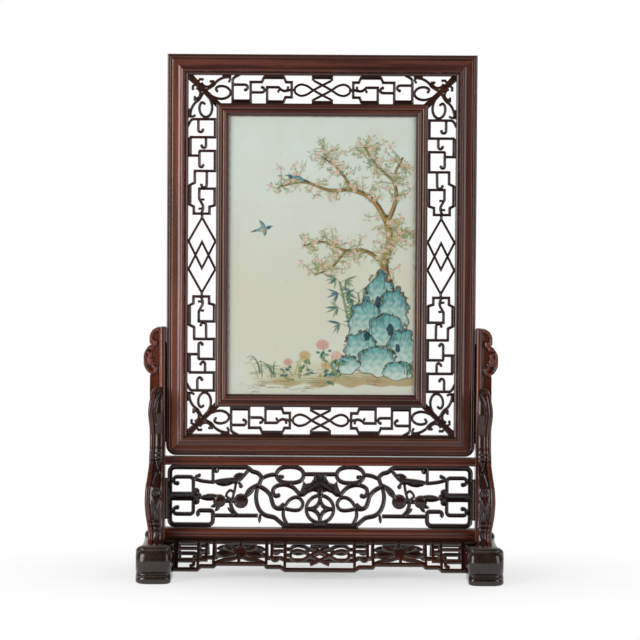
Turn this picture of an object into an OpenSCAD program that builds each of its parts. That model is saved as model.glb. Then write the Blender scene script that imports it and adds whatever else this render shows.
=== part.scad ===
// Table screen: a porcelain plaque in a double frame with openwork between the two frames.
// The framed panel stands in the grooves of two posts and lifts out upwards.
// The stand has two scrolled feet, two posts with brackets, two rails, a pierced panel and two aprons.

/* [Screen panel] */
// Width of the outer frame
frame_w = 402; // [360:1:460]
// Height of the outer frame
frame_h = 522; // [470:1:600]
// Face width of an outer frame member
frame_side = 27; // [23:0.5:32]
// Depth of the outer frame, front to back
frame_d = 22; // [20:0.5:28]
// Radius of the two lower corners of the outer frame
corner_r = 13; // [9:0.5:18]
// Width of the openwork border between the frames
fret_w = 36.5; // [32:0.5:42]
// Thickness of the openwork, front to back
fret_t = 9; // [7:0.5:11]
// Width of an openwork bar
fret_bar = 3.5; // [2.8:0.1:4.2]
// Reach of a corner scroll along each side of its corner
corner_reach = 55.5; // [52:0.5:60]
// Face width of an inner frame member
inner_side = 16.5; // [14:0.5:20]
// Depth of the inner frame, front to back
inner_d = 20; // [18:0.5:24]
// Thickness of the porcelain plaque
plaque_t = 6; // [4:0.5:7]
// Thickness of the board behind the plaque
board_t = 4; // [3:0.5:5]
// Depth of the groove that holds plaque and board
plaque_groove = 5; // [4:0.5:6]

/* [Panel seat in the posts] */
// Thickness of the tongue on each stile
tongue_t = 10; // [8:0.5:12]
// How far a tongue stands out from its stile
tongue_out = 7; // [5:0.5:9]
// Length of a tongue
tongue_len = 130; // [100:1:140]
// Gap between a stile and the post beside it
panel_gap = 1.2; // [0.8:0.1:2]
// Gap between the panel and the upper rail
rest_gap = 2; // [2:0.5:5]

/* [Stand] */
// Face width of a post
post_w = 20; // [18:0.5:24]
// Depth of a post, front to back
post_d = 28; // [26:0.5:34]
// Height of the post top above the floor
post_top = 323; // [315:1:335]
// How far the cloud scroll swells out of the post
cloud_out = 8.5; // [6:0.5:10]
// Height of the cloud scroll on a post
cloud_h = 37; // [30:1:42]
// Length of a foot, front to back
foot_l = 184; // [180:1:200]
// Width of a foot
foot_w = 45; // [42:0.5:50]
// Height of a foot at its middle
foot_h = 40; // [36:0.5:46]
// Rise of the scrolled foot end above the middle
scroll_rise = 8.5; // [7:0.5:10]
// Height of the shallow arch below a foot
arch_h = 6; // [4:0.5:9]
// Width of the shallow arch below a foot
arch_w = 60; // [50:1:66]
// Height of the lower rail above the feet
rail_lift = 10; // [8:0.5:12]
// Height of the cross rails
rail_h = 10.5; // [9:0.5:13]
// Depth of the lower rail, front to back
lower_rail_d = 24; // [22:0.5:27]
// Depth of the upper rail, front to back
upper_rail_d = 20; // [18:0.5:24]
// Height of the pierced panel between the rails
pierced_h = 83; // [76:1:90]
// Thickness of the pierced panel
pierced_t = 10; // [8:0.5:12]
// Thickness of an apron board
apron_t = 5; // [4.5:0.5:7]
// Lean of an apron out of the upright, in degrees
apron_lean = 40; // [34:1:44]
// Clear height below the aprons
apron_lift = 8.5; // [6:0.5:11]
// Height of a bracket above its foot
bracket_h = 206; // [190:1:220]
// Reach of a bracket in front of its post
bracket_reach = 45; // [40:1:47]
// Thickness of a bracket
bracket_t = 15; // [13:0.5:17]

/* [Joints] */
// Play around each glued tenon
joint_gap = 0.15; // [0.1:0.05:0.3]
// Play around each tongue in its post groove
slide_gap = 0.5; // [0.3:0.1:0.8]
// Thickness of the openwork tenons
fret_tenon_t = 3; // [2.5:0.5:4]
// Length of the openwork tenons
fret_tenon = 3; // [2:0.5:4]
// Length of the tenons of rails, pierced panel and brackets
stand_tenon = 5; // [4:0.5:6]
// Thickness of those tenons
stand_tenon_t = 5; // [4:0.5:6]
// Height of the tenons between a bracket and its post
bracket_tenon_h = 16; // [12:1:20]
// Length of the tenon under a post
post_tenon = 26; // [20:1:30]

/* [Hidden] */
$fn = 32;
wood = [0.30, 0.14, 0.10];
wood_dark = [0.22, 0.11, 0.09];
wood_board = [0.36, 0.22, 0.14];
glaze = [0.86, 0.87, 0.80];

// Levels above the floor
low_rail_z = foot_h + rail_lift;
pierced_z = low_rail_z + rail_h;
up_rail_z = pierced_z + pierced_h;
panel_z = up_rail_z + rail_h + rest_gap;
panel_mid_z = panel_z + frame_h / 2;
tongue_z = panel_z + corner_r + 4;

// Half sizes of the opening in the outer frame and of the inner frame
open_x = frame_w / 2 - frame_side;
open_z = frame_h / 2 - frame_side;
inner_x = open_x - fret_w;
inner_z = open_z - fret_w;
sight_x = inner_x - inner_side;
sight_z = inner_z - inner_side;

// Runs of openwork between the corner scrolls, from the middle of a side
run_top = open_x - corner_reach;
run_side = open_z - corner_reach;

// Depth layout of the panel: the front of the screen looks towards -Y
front_y = -frame_d / 2;
inner_front_y = -inner_d / 2;
plaque_y = inner_front_y + 7.5;
board_y = plaque_y + plaque_t;
groove_end_y = board_y + board_t + joint_gap;
fret_y = front_y + 8.2;

// Posts, seen from the middle of the stand
post_in = frame_w / 2 + panel_gap;
post_x = post_in + post_w / 2;
foot_in = post_x - foot_w / 2;

// Sheets that the openwork patterns were drawn on: length from the middle, and width across
top_sheet = [118.5, 36.5];
side_sheet = [178.5, 36.5];
corner_sheet = [55.5, 36.5];
pierced_sheet = [202, 84.5];
apron_sheet = [189, 51];

// Tabs on the openwork that meet the frames, as middle and length along the side
top_tabs_out = [[0, 26], [63, 26]];
top_tabs_in = [[0, 27], [60.5, 21], [104.5, 22]];
side_tabs_out = [[78.3, 26], [141, 24]];
side_tabs_in = [[75.3, 22], [123, 26], [164.5, 23]];
corner_tab = [49.5, 10];

// Points of an arc about c, from angle a0 to angle a1
function arc(c, r, a0, a1, n = 8) =
  [for (i = [0:n]) c + r * [cos(a0 + (a1 - a0) * i / n), sin(a0 + (a1 - a0) * i / n)]];

// Smooth curve through the points p, with n steps from each to the next
function smooth(p, n = 3) = [
  for (i = [0:len(p) - 2])
    for (j = [0:n - 1])
      let (a = p[max(i - 1, 0)], b = p[i], c = p[i + 1], d = p[min(i + 2, len(p) - 1)], t = j / n)
        0.5 * (2 * b + (c - a) * t + (2 * a - 5 * b + 4 * c - d) * t * t
          + (3 * b - a - 3 * c + d) * t * t * t),
  p[len(p) - 1]
];

// Curl that starts at p with heading h and turns to one side
function curl(p, h, side, r, sweep, n = 6) =
  arc(p + r * [cos(h + 90 * side), sin(h + 90 * side)], r, h - 90 * side, h - 90 * side + side * sweep, n);

// Points p of a drawing, stretched by f
function fit(p, f) = [for (q = p) [q.x * f.x, q.y * f.y]];

function unit(v) = v / norm(v);
function left(v) = [-v.y, v.x];

// Sideways step at point i of path p, longer at a corner so that the bar keeps its width
function sideways(p, i) =
  let (
    a = unit(p[max(i, 1)] - p[max(i, 1) - 1]),
    b = i < len(p) - 1 ? unit(p[i + 1] - p[i]) : a,
    m = unit(left(a) + left(b))
  ) m / max(0.45, m * left(a));

// Flat bar along the path p, w0 wide at its start and w1 at its end.
// It is laid in two lengths, so that its end may cross its start.
module bar(p, w0, w1 = undef) {
  n = len(p);
  w = is_undef(w1) ? w0 : w1;
  m = floor(n / 2);
  for (span = n > 4 ? [[0, m], [m, n - 1]] : [[0, n - 1]])
    polygon(concat(
      [for (i = [span[0]:span[1]]) p[i] + sideways(p, i) * (w0 + (w - w0) * i / (n - 1)) / 2],
      [for (i = [span[1]:-1:span[0]]) p[i] - sideways(p, i) * (w0 + (w - w0) * i / (n - 1)) / 2]
    ));
}

// Flat bar along p that ends in a round knob
module knobbed(p, w, d) {
  bar(p, w);
  translate(p[len(p) - 1])
    circle(d = d, $fn = 10);
}

// Straight bar from a to b that turns back to one side in a curl of radius r with a knob
module hooked(a, b, side, r, w) {
  h = atan2(b.y - a.y, b.x - a.x);
  knobbed(concat([a], curl(b, h, side, r, 175)), w, w * 1.2);
}

// Leaf from tip a to tip b that swells out by s on its left and by t on its right
module leaf(a, b, s, t) {
  d = b - a;
  n = left(unit(d));
  polygon(concat(
    [for (i = [0:6]) a + d * i / 6 + n * s * sin(180 * pow(i / 6, 0.8))],
    [for (i = [5:-1:1]) a + d * i / 6 - n * t * sin(180 * pow(i / 6, 0.8))]
  ));
}

// Pattern drawn once and once more mirrored about the middle
module both_ways() {
  children();
  mirror([1, 0])
    children();
}

// Flat shape in X and Z made a board of thickness t that starts at depth y
module board(y, t) {
  translate([0, y + t, 0])
    rotate([90, 0, 0])
      linear_extrude(height = t)
        children();
}

// Block between two corners
module block(a, b) {
  translate(a)
    cube(b - a);
}

// Outer frame section: d runs inwards from the outer edge, y to the back
function outer_section() =
  let (s = frame_side / 27, f = front_y)
    concat(
      arc([1.9 * s, f + 3.4], 1.9 * s, 180, 360, 6),
      [[4.4 * s, f + 3.4], [4.4 * s, f + 2.2], [6 * s, f + 0.9], [8.2 * s, f + 0.2], [10.6 * s, f]],
      [[13.2 * s, f + 0.2], [13.8 * s, f + 2.4]],
      arc([15.6 * s, f + 2.6], 1.6 * s, 180, 360, 6),
      arc([18.6 * s, f + 3.8], 1.1 * s, 180, 360, 5),
      arc([21 * s, f + 4.4], 1.1 * s, 180, 360, 5),
      [[22.6 * s, f + 5.2], [24 * s, f + 6.4], [25.6 * s, f + 7.1], [27 * s, f + 7.2]],
      [[27 * s, -f - 0.8], [26.2 * s, -f], [0.8 * s, -f], [0, -f - 0.8]]
    );

// Inner frame section with the groove that holds plaque and board
function inner_section() =
  let (s = inner_side / 16.5, f = inner_front_y)
    concat(
      [[0, f + 3], [0.8 * s, f + 2.2], [2 * s, f + 2], [2 * s, f + 0.9], [4 * s, f + 0.2]],
      [[6.4 * s, f], [8.4 * s, f + 0.3], [8.8 * s, f + 1.4]],
      arc([10.6 * s, f + 1.6], 1.3 * s, 180, 360, 6),
      arc([13 * s, f + 2.8], 0.9 * s, 180, 360, 5),
      [[14.2 * s, f + 3.6], [15.3 * s, f + 4.6], [inner_side, f + 5]],
      [[inner_side, plaque_y], [inner_side - plaque_groove, plaque_y]],
      [[inner_side - plaque_groove, groove_end_y], [inner_side, groove_end_y]],
      [[inner_side, -f - 0.6], [inner_side - 0.6, -f], [0.6, -f], [0, -f - 0.6]]
    );

// Moulded bar along X with its outer edge at z = 0, mitred at both ends.
// r0 and r1 round its outer corners, at the -X and at the +X end.
module moulded(len, side, depth, section, r0, r1) {
  half_bar(len / 2, side, depth, section, r1);
  mirror([1, 0, 0])
    half_bar(len / 2, side, depth, section, r0);
}

// Half of a moulded bar with its mitred end at x = half.
// At a rounded end the section turns with the corner.
module half_bar(half, side, depth, section, r) {
  back = r - half - 1;
  translate([half - r, 0, 0]) {
    intersection() {
      translate([back, 0, 0])
        rotate([0, 90, 0])
          linear_extrude(height = r + 1 - back)
            polygon(section);
      board(-depth, 2 * depth)
        polygon(concat(
          [[back, -side - 1], [back, 1]],
          r > 0 ? [[0, 1], [0, -r]] : [[1, 1]],
          [[r - side - 1, -side - 1]]
        ));
    }
    if (r > 0)
      translate([0, 0, -r])
        rotate([90, 0, 0])
          rotate_extrude(angle = 45, start = 45, $fn = 48)
            intersection() {
              polygon([for (q = section) [r - q.x, -q.y]]);
              translate([0, -depth])
                square([r, 2 * depth]);
            }
  }
}

// Outer frame

// Tenon at the +X end of an outer rail, or with play its mortise
module outer_tenon(g) {
  block(
    [frame_w / 2 - frame_side - 3, 1 - g, -0.78 * frame_side - g],
    [frame_w / 2 - 0.26 * frame_side + g, 7 + g, -0.44 * frame_side + g]
  );
}

// Sockets for the openwork tabs in an inner edge at z = e, for tabs at the middles and lengths in tabs
module tab_sockets(tabs, k, e) {
  for (t = tabs)
    for (m = t[0] == 0 ? [1] : [-1, 1])
      translate([m * t[0] * k, 0, 0])
        block(
          [-t[1] * k / 2 + 3 - joint_gap, tab_y() - joint_gap, e - fret_tenon - joint_gap],
          [t[1] * k / 2 - 3 + joint_gap, tab_y() + fret_tenon_t + joint_gap, e + fret_tenon + joint_gap]
        );
}

function tab_y() = fret_y + (fret_t - fret_tenon_t) / 2;

// Sockets for the two corner scrolls along one side whose opening is h long from its middle
module corner_sockets(h) {
  for (m = [-1, 1])
    translate([m * (h - corner_tab[0] * corner_reach / corner_sheet.x), 0, 0])
      block(
        [-corner_tab[1] / 2 + 2 - joint_gap, tab_y() - joint_gap, -frame_side - 1],
        [corner_tab[1] / 2 - 2 + joint_gap, tab_y() + fret_tenon_t + joint_gap,
          fret_tenon + joint_gap - frame_side]
      );
}

// Rail of the outer frame with its outer edge at z = 0
module outer_rail(r) {
  difference() {
    union() {
      moulded(frame_w, frame_side, frame_d, outer_section(), r, r);
      outer_tenon(0);
      mirror([1, 0, 0])
        outer_tenon(0);
    }
    tab_sockets(top_tabs_out, run_top / top_sheet.x, -frame_side);
    corner_sockets(open_x);
  }
}

module frame_top_rail() {
  color(wood)
    translate([0, 0, panel_z + frame_h])
      outer_rail(0);
}

module frame_bottom_rail() {
  color(wood)
    translate([0, 0, panel_z])
      mirror([0, 0, 1])
        outer_rail(corner_r);
}

// Stile with the tongue that runs in the post groove, on the +X side
module outer_stile() {
  difference() {
    union() {
      translate([frame_w / 2, 0, panel_mid_z])
        rotate([0, 90, 0])
          moulded(frame_h, frame_side, frame_d, outer_section(), 0, corner_r);
      block(
        [frame_w / 2 - 3, -tongue_t / 2, tongue_z],
        [frame_w / 2 + tongue_out, tongue_t / 2, tongue_z + tongue_len]
      );
    }
    translate([0, 0, panel_z + frame_h])
      outer_tenon(joint_gap);
    translate([0, 0, panel_z])
      mirror([0, 0, 1])
        outer_tenon(joint_gap);
    translate([frame_w / 2, 0, panel_mid_z])
      rotate([0, 90, 0]) {
        tab_sockets(side_tabs_out, run_side / side_sheet.x, -frame_side);
        corner_sockets(open_z);
      }
  }
}

module frame_right_stile() {
  color(wood)
    outer_stile();
}

module frame_left_stile() {
  color(wood)
    mirror([1, 0, 0])
      outer_stile();
}

// Inner frame

// Tenon at the +X end of an inner rail, or with play its mortise
module inner_tenon(g) {
  block(
    [inner_x - inner_side - 2, 0 - g, -0.6 * inner_side - g],
    [inner_x - 0.22 * inner_side + g, 5 + g, -0.36 * inner_side + g]
  );
}

// Rail of the inner frame with its outer edge at z = 0
module inner_rail() {
  difference() {
    union() {
      moulded(2 * inner_x, inner_side, inner_d, inner_section(), 0, 0);
      intersection() {
        union() {
          inner_tenon(0);
          mirror([1, 0, 0])
            inner_tenon(0);
        }
        block([-inner_x, -inner_d, plaque_groove - inner_side], [inner_x, inner_d, 0]);
      }
    }
    tab_sockets(top_tabs_in, run_top / top_sheet.x, 0);
  }
}

module inner_top_rail() {
  color(wood)
    translate([0, 0, panel_mid_z + inner_z])
      inner_rail();
}

module inner_bottom_rail() {
  color(wood)
    translate([0, 0, panel_mid_z - inner_z])
      mirror([0, 0, 1])
        inner_rail();
}

// Stile of the inner frame on the +X side
module inner_stile() {
  difference() {
    translate([inner_x, 0, panel_mid_z])
      rotate([0, 90, 0])
        difference() {
          moulded(2 * inner_z, inner_side, inner_d, inner_section(), 0, 0);
          tab_sockets(side_tabs_in, run_side / side_sheet.x, 0);
        }
    translate([0, 0, panel_mid_z + inner_z])
      inner_tenon(joint_gap);
    translate([0, 0, panel_mid_z - inner_z])
      mirror([0, 0, 1])
        inner_tenon(joint_gap);
  }
}

module inner_right_stile() {
  color(wood)
    inner_stile();
}

module inner_left_stile() {
  color(wood)
    mirror([1, 0, 0])
      inner_stile();
}

// Plaque and board, both in the groove of the inner frame
module plaque_sheet(y, t) {
  x = sight_x + plaque_groove - joint_gap;
  z = sight_z + plaque_groove - joint_gap;
  block([-x, y, panel_mid_z - z], [x, y + t, panel_mid_z + z]);
}

module plaque() {
  color(glaze)
    plaque_sheet(plaque_y, plaque_t);
}

module back_board() {
  color(wood_board)
    plaque_sheet(board_y, board_t);
}

// Openwork of the border.
// Every drawing has x along the side from its middle and y from the outer frame to the inner one.

// Tab along a frame, from u0 to u1, between the heights v0 and v1
module tab(u0, u1, v0, v1) {
  translate([u0, v0])
    square([u1 - u0, v1 - v0]);
}

// Half of the upper run: stepped cartouche with hooked bars, from the knot to the corner scroll
module top_half(w) {
  in = top_sheet.y;
  tab(50, 76, -1, 4.9);
  tab(50, 71, 32, in + 1);
  tab(93.5, 115.5, 31.2, in + 1);
  bar([[top_sheet.x - w / 2, 7], [top_sheet.x - w / 2, in + 1]], w);
  bar(smooth([[top_sheet.x - w / 2, 12.2], [top_sheet.x - w / 2, 7], [115, 3.2], [107.5, -1]]), w);
  hooked([top_sheet.x - w / 2, 12.2], [100.6, 12.2], -1, 3.4, w);
  bar([[93.3, 7], [93.3, in + 1]], w);
  bar([[95, 8.7], [78.8, 8.7], [76, 2.6], [50, 2.6], [47.2, 8.7], [40, 8.7], [40, 28.2], [48.2, 28.2],
    [50.8, 35]], w);
  bar([[71.9, 13.6], [71.9, in + 1]], w);
  hooked([93.3, 22.1], [78.6, 22.1], 1, 3.3, w);
  bar(concat([[73.6, 15.3], [59, 15.3]],
    smooth([[57, 15.4], [54, 18.2], [50.2, 20], [45.4, 19.5], [40.4, 18.2]])), w);
  knobbed([[54.4, 17.4], [56.2, 18.6], [57.4, 20.8]], w * 0.8, w);
  knobbed([[47.4, 19.8], [45.4, 18.2], [44.8, 15.4]], w * 0.8, w);
  bar([[40, 18.9], [36, 18.9]], w);
}

// Interlaced knot at the middle of the upper run
module knot(w) {
  loop = [[-11.6, 6.5], [0, 12.4], [11.8, 18.9], [20, 24.4], [28.2, 26.2], [34.6, 23], [36, 18.9],
    [34.6, 14.8], [28.4, 11.6], [20, 13.4], [11.8, 18.9], [0, 25.4], [-11.6, 31.3]];
  bar(smooth(loop), w * 0.86);
}

module top_drawing(w) {
  both_ways() {
    top_half(w);
    knot(w);
    bar([[12.2, -1], [12.2, 6.5]], w);
    bar([[12.2, 30.6], [12.2, top_sheet.y + 1]], w);
  }
  tab(-13, 13, -1, 4.6);
  tab(-13.5, 13.5, 32.6, top_sheet.y + 1);
}

// Half of the side run: staggered hooked cells up to the corner scroll, stepped cartouche below
module side_half(w) {
  in = side_sheet.y;
  end = side_sheet.x - w / 2;
  tab(65, 91.6, -1, 4.4);
  tab(129, 153, -1, 4.5);
  tab(64.3, 86.5, 32.6, in + 1);
  tab(110, 136, 32.8, in + 1);
  tab(153, side_sheet.x - 2, 32.8, in + 1);
  bar([[end, 7], [end, in + 1]], w);
  bar(smooth([[end, 12.2], [end, 7], [side_sheet.x - 3.5, 3.2], [side_sheet.x - 11, -1]]), w);
  hooked([end, 12.9], [163, 12.9], -1, 3, w);
  bar([[153.3, 1.5], [153.3, in + 1]], w);
  hooked([153.3, 22.9], [142.4, 22.9], 1, 2.8, w);
  bar([[135.6, 13.6], [135.6, in + 1]], w);
  hooked([135.6, 14.4], [116.8, 14.4], -1, 2.4, w);
  bar([[129.4, -1], [129.4, 14.4]], w);
  bar([[109.5, 7.2], [109.5, in + 1]], w);
  bar([[109.5, 8.5], [94.2, 8.5], [91.4, 2.6], [65.4, 2.6], [63, 7.4], [54, 7.4], [54, 27.8], [63, 27.8],
    [65, 35]], w);
  hooked([108.5, 24.2], [91.4, 24], 1, 3.4, w);
  bar([[86.5, 13.4], [86.5, in + 1]], w);
  bar(concat([[88, 14.4], [76, 14.4]],
    smooth([[73.4, 14.4], [69, 16.8], [63.8, 19.4], [58.6, 18.9], [54, 16.9]])), w);
  knobbed([[71.4, 15.4], [72.4, 17.6], [72.4, 19.8]], w * 0.8, w);
  knobbed([[62, 19], [60.4, 16.8], [60.4, 14.8]], w * 0.8, w);
  bar([[54, in / 2], [48, in / 2]], w);
}

// Two long diamonds that cross at the middle of the side
module diamonds(w) {
  c = side_sheet.y / 2;
  for (m = [-1, 1])
    bar([[m * 49, c], [m * 18.2, 0.8], [m * -17.2, c], [m * 18.2, side_sheet.y - 0.8], [m * 49, c]], w);
}

module side_drawing(w) {
  both_ways()
    side_half(w);
  diamonds(w * 0.84);
}

// Run of openwork of half length run, filled from the drawing on its sheet
module fret_shape(run, sheet) {
  offset(delta = 0)
    intersection() {
      scale([run / sheet.x, fret_w / sheet.y])
        children();
      translate([-run, 0])
        square([2 * run, fret_w]);
    }
}

// Tenons of a run of openwork: the outer ones start at its height 0, the inner ones at fret_w
module fret_tenons(out, in, k) {
  for (row = [[out, -fret_tenon, 1], [in, fret_w - 1, fret_w + fret_tenon]])
    for (t = row[0])
      for (m = t[0] == 0 ? [1] : [-1, 1])
        translate([m * t[0] * k, 0, 0])
          block(
            [3 - t[1] * k / 2, tab_y(), -row[2]],
            [t[1] * k / 2 - 3, tab_y() + fret_tenon_t, -row[1]]
          );
}

// Upper run with the outer frame at z = 0
module fret_run_top() {
  board(fret_y, fret_t)
    mirror([0, 1])
      fret_shape(run_top, top_sheet)
        top_drawing(fret_bar);
  fret_tenons(top_tabs_out, top_tabs_in, run_top / top_sheet.x);
}

// Side run with the outer frame at z = 0
module fret_run_side() {
  board(fret_y, fret_t)
    mirror([0, 1])
      fret_shape(run_side, side_sheet)
        side_drawing(fret_bar);
  fret_tenons(side_tabs_out, side_tabs_in, run_side / side_sheet.x);
}

module fret_top() {
  color(wood)
    translate([0, 0, panel_mid_z + open_z])
      fret_run_top();
}

module fret_bottom() {
  color(wood)
    translate([0, 0, panel_mid_z - open_z])
      mirror([0, 0, 1])
        fret_run_top();
}

module fret_right() {
  color(wood)
    translate([open_x, 0, panel_mid_z])
      rotate([0, 90, 0])
        fret_run_side();
}

module fret_left() {
  color(wood)
    mirror([1, 0, 0])
      translate([open_x, 0, panel_mid_z])
        rotate([0, 90, 0])
          fret_run_side();
}

// Arm of a corner scroll, drawn from the corner of the opening along x
module corner_arm(w) {
  knobbed([[11.5, 9.5], [14.6, 5.4], [18, 5.6]], w * 0.9, w * 1.1);
  knobbed(concat(arc([24, 7.6], 7.6, 165, 5, 10), [[28.8, 8.2]]), w, w * 1.1);
  bar(smooth([[22, 19.5], [31.5, 14], [36, 8.6], [42.4, 4.4], [50, 2.4], [57, 2.6]]), w);
  polygon([[43.5, -1], [43.5, 3.8], [48, 2.6], [57, 2.4], [57, -1]]);
  knobbed([[52.6, 2.8], [54, 5.4], [52.6, 8]], w * 0.8, w);
  knobbed(smooth([[28.6, 26.6], [36.7, 29.9], [44.4, 30.6], [51.6, 27.9], [54.6, 22.3], [51, 16.6],
    [44.4, 14.2], [38.2, 15], [35.4, 17.8], [37, 20.6]]), w, w * 1.1);
  bar([[53.6, 22.3], [57, 22.3]], w * 1.3);
}

// Corner scroll with the corner of the opening at the origin, in the quarter +X, -Z
module corner_scroll() {
  f = [corner_reach / corner_sheet.x, fret_w / corner_sheet.y];
  board(fret_y, fret_t)
    mirror([0, 1])
      offset(delta = 0)
        intersection() {
          union() {
            bar([[-5, -5], fret_w * [0.5, 0.5]], 10, 6.6);
            bar([fret_w * [0.5, 0.5], fret_w * [1.1, 1.1]], 6.6, 8.6);
            scale(f)
              corner_arm(fret_bar);
            mirror([1, -1])
              scale(f)
                corner_arm(fret_bar);
          }
          union() {
            square([corner_reach, fret_w]);
            square([fret_w, corner_reach]);
          }
        }
  corner_tenon();
  mirror([1, 0, 1])
    corner_tenon();
}

module corner_tenon() {
  m = corner_tab[0] * corner_reach / corner_sheet.x;
  block(
    [m - corner_tab[1] / 2 + 2, tab_y(), -1.5],
    [m + corner_tab[1] / 2 - 2, tab_y() + fret_tenon_t, fret_tenon]
  );
}

module corner_top_left() {
  color(wood)
    translate([-open_x, 0, panel_mid_z + open_z])
      corner_scroll();
}

module corner_top_right() {
  color(wood)
    translate([open_x, 0, panel_mid_z + open_z])
      mirror([1, 0, 0])
        corner_scroll();
}

module corner_bottom_left() {
  color(wood)
    translate([-open_x, 0, panel_mid_z - open_z])
      mirror([0, 0, 1])
        corner_scroll();
}

module corner_bottom_right() {
  color(wood)
    translate([open_x, 0, panel_mid_z - open_z])
      rotate([0, 180, 0])
        corner_scroll();
}

// Stand

// Outline of a post in X and Z, from its inner face at x = 0
function post_outline() =
  let (
    r = (pow(cloud_h / 2, 2) + pow(cloud_out, 2)) / (2 * cloud_out),
    a = asin(cloud_h / 2 / r),
    top_r = 12,
    c = post_top - 23 - cloud_h / 2
  )
    concat(
      [[0, foot_h], [post_w, foot_h], [post_w, c - cloud_h / 2 - 2.5], [post_w - 2, c - cloud_h / 2]],
      arc([post_w + cloud_out - r, c], r, -a, a, 12),
      [[post_w - 2, c + cloud_h / 2 + 0.6], [post_w, c + cloud_h / 2 + 3]],
      arc([post_w - top_r, post_top - top_r], top_r, 0, 90, 8),
      [[0, post_top]]
    );

// Post on the +X side
module post() {
  difference() {
    union() {
      translate([post_in, 0, 0])
        board(-post_d / 2, post_d)
          polygon(post_outline());
      foot_tenon(0);
    }
    block(
      [post_in - 1, -tongue_t / 2 - slide_gap, tongue_z],
      [frame_w / 2 + tongue_out + slide_gap, tongue_t / 2 + slide_gap, post_top + 1]
    );
    rail_tenon(low_rail_z, joint_gap);
    rail_tenon(up_rail_z, joint_gap);
    pierced_side_tenon(joint_gap);
    for (m = [-1, 1])
      scale([1, m, 1])
        bracket_tenons(joint_gap);
  }
}

// Tenon under a post
module foot_tenon(g) {
  block(
    [post_x - post_w / 4 - g, -post_d / 4 - g, foot_h - post_tenon - g],
    [post_x + post_w / 4 + g, post_d / 4 + g, foot_h + 1]
  );
}

// Tenon at the +X end of a rail whose lower face is at height z
module rail_tenon(z, g) {
  block(
    [post_in - 4, -stand_tenon_t - g, z + rail_h / 4 - g],
    [post_in + 2 * stand_tenon + g, stand_tenon_t + g, z + rail_h * 3 / 4 + g]
  );
}

// Tenon at the +X edge of the pierced panel
module pierced_side_tenon(g) {
  block(
    [post_in - 3, -stand_tenon_t / 2 - g, pierced_z + 0.28 * pierced_h - g],
    [post_in + stand_tenon + g, stand_tenon_t / 2 + g, pierced_z + 0.72 * pierced_h + g]
  );
}

// Tenons of a front bracket: two into the post and one into the foot
module bracket_tenons(g) {
  for (z = [foot_h + 0.3 * bracket_h, foot_h + 0.72 * bracket_h])
    block(
      [post_x - stand_tenon_t / 2 - g, -post_d / 2 - 4, z - bracket_tenon_h / 2 - g],
      [post_x + stand_tenon_t / 2 + g, stand_tenon + g - post_d / 2, z + bracket_tenon_h / 2 + g]
    );
  block(
    [post_x - stand_tenon_t / 2 - g, -post_d / 2 - 0.7 * bracket_reach - g, foot_h - 1.4 * stand_tenon - g],
    [post_x + stand_tenon_t / 2 + g, -post_d / 2 - 0.25 * bracket_reach + g, foot_h + 4]
  );
}

module post_right() {
  color(wood_dark)
    post();
}

module post_left() {
  color(wood_dark)
    mirror([1, 0, 0])
      post();
}

// Edge of a bracket away from its post, as shares of its reach and height
function bracket_edge() = smooth([
  [1, 0], [0.98, 0.025], [0.86, 0.06], [0.8, 0.1], [0.86, 0.14], [0.98, 0.21], [1, 0.29], [0.9, 0.38],
  [0.68, 0.46], [0.5, 0.52], [0.42, 0.56], [0.46, 0.6], [0.36, 0.64], [0.32, 0.7], [0.36, 0.77],
  [0.43, 0.84], [0.4, 0.91], [0.27, 0.97], [0.12, 1]
], 3);

// Outer side of a bracket, as shares of its half thickness and height
function bracket_side() = smooth([
  [1.3, 0], [1.2, 0.07], [1.16, 0.1], [1.36, 0.15], [1.62, 0.22], [1.76, 0.3], [1.7, 0.37], [1.42, 0.45],
  [1.22, 0.52], [1.24, 0.57], [1.14, 0.61], [1.14, 0.7], [1.24, 0.76], [1.46, 0.83], [1.4, 0.88],
  [1.12, 0.94], [0.86, 1]
], 3);

// Front bracket on the +X side: a carved board that widens towards its foot
module bracket() {
  e = fit(bracket_edge(), [bracket_reach, bracket_h]);
  s = fit(bracket_side(), [bracket_t / 2, bracket_h]);
  translate([post_x, -post_d / 2, foot_h])
    intersection() {
      rotate([90, 0, -90])
        linear_extrude(height = 3 * bracket_t, center = true)
          polygon(concat([[0, 0]], e, [[0, bracket_h]]));
      board(-2 * bracket_reach, 2 * bracket_reach)
        polygon(concat(s, fit([[-0.7, 1], [-1, 0.94], [-1, 0]], [bracket_t / 2, bracket_h])));
    }
  bracket_tenons(0);
}

module bracket_front_right() {
  color(wood_dark)
    bracket();
}

module bracket_front_left() {
  color(wood_dark)
    mirror([1, 0, 0])
      bracket();
}

module bracket_back_right() {
  color(wood_dark)
    mirror([0, 1, 0])
      bracket();
}

module bracket_back_left() {
  color(wood_dark)
    rotate([0, 0, 180])
      bracket();
}

// Half outline of a foot in Y and Z, from its middle to its front scroll
function foot_outline() =
  let (h = foot_l / 2, t = foot_h + scroll_rise)
    concat(
      [[0, arch_h]],
      arc([arch_w / 2 - arch_h, 0], arch_h, 90, 0, 5),
      [[h - 3, 0], [h - 1.4, 1.6], [h - 1.2, 7]],
      smooth([[h - 2.2, 9], [h - 5, 11], [h - 5.4, 13], [h - 2, 18], [h - 0.3, 25], [h, 29], [h - 0.8, 35],
        [h - 3.4, t - 7], [h - 5.6, t - 5.2]], 3),
      [[h - 5.8, t - 4.4]],
      smooth([[h - 6, t - 3.4], [h - 9, t - 0.8], [h - 14, t], [h - 21, t - 1.4], [h - 26.5, foot_h]], 3),
      [[0, foot_h]]
    );

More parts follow.
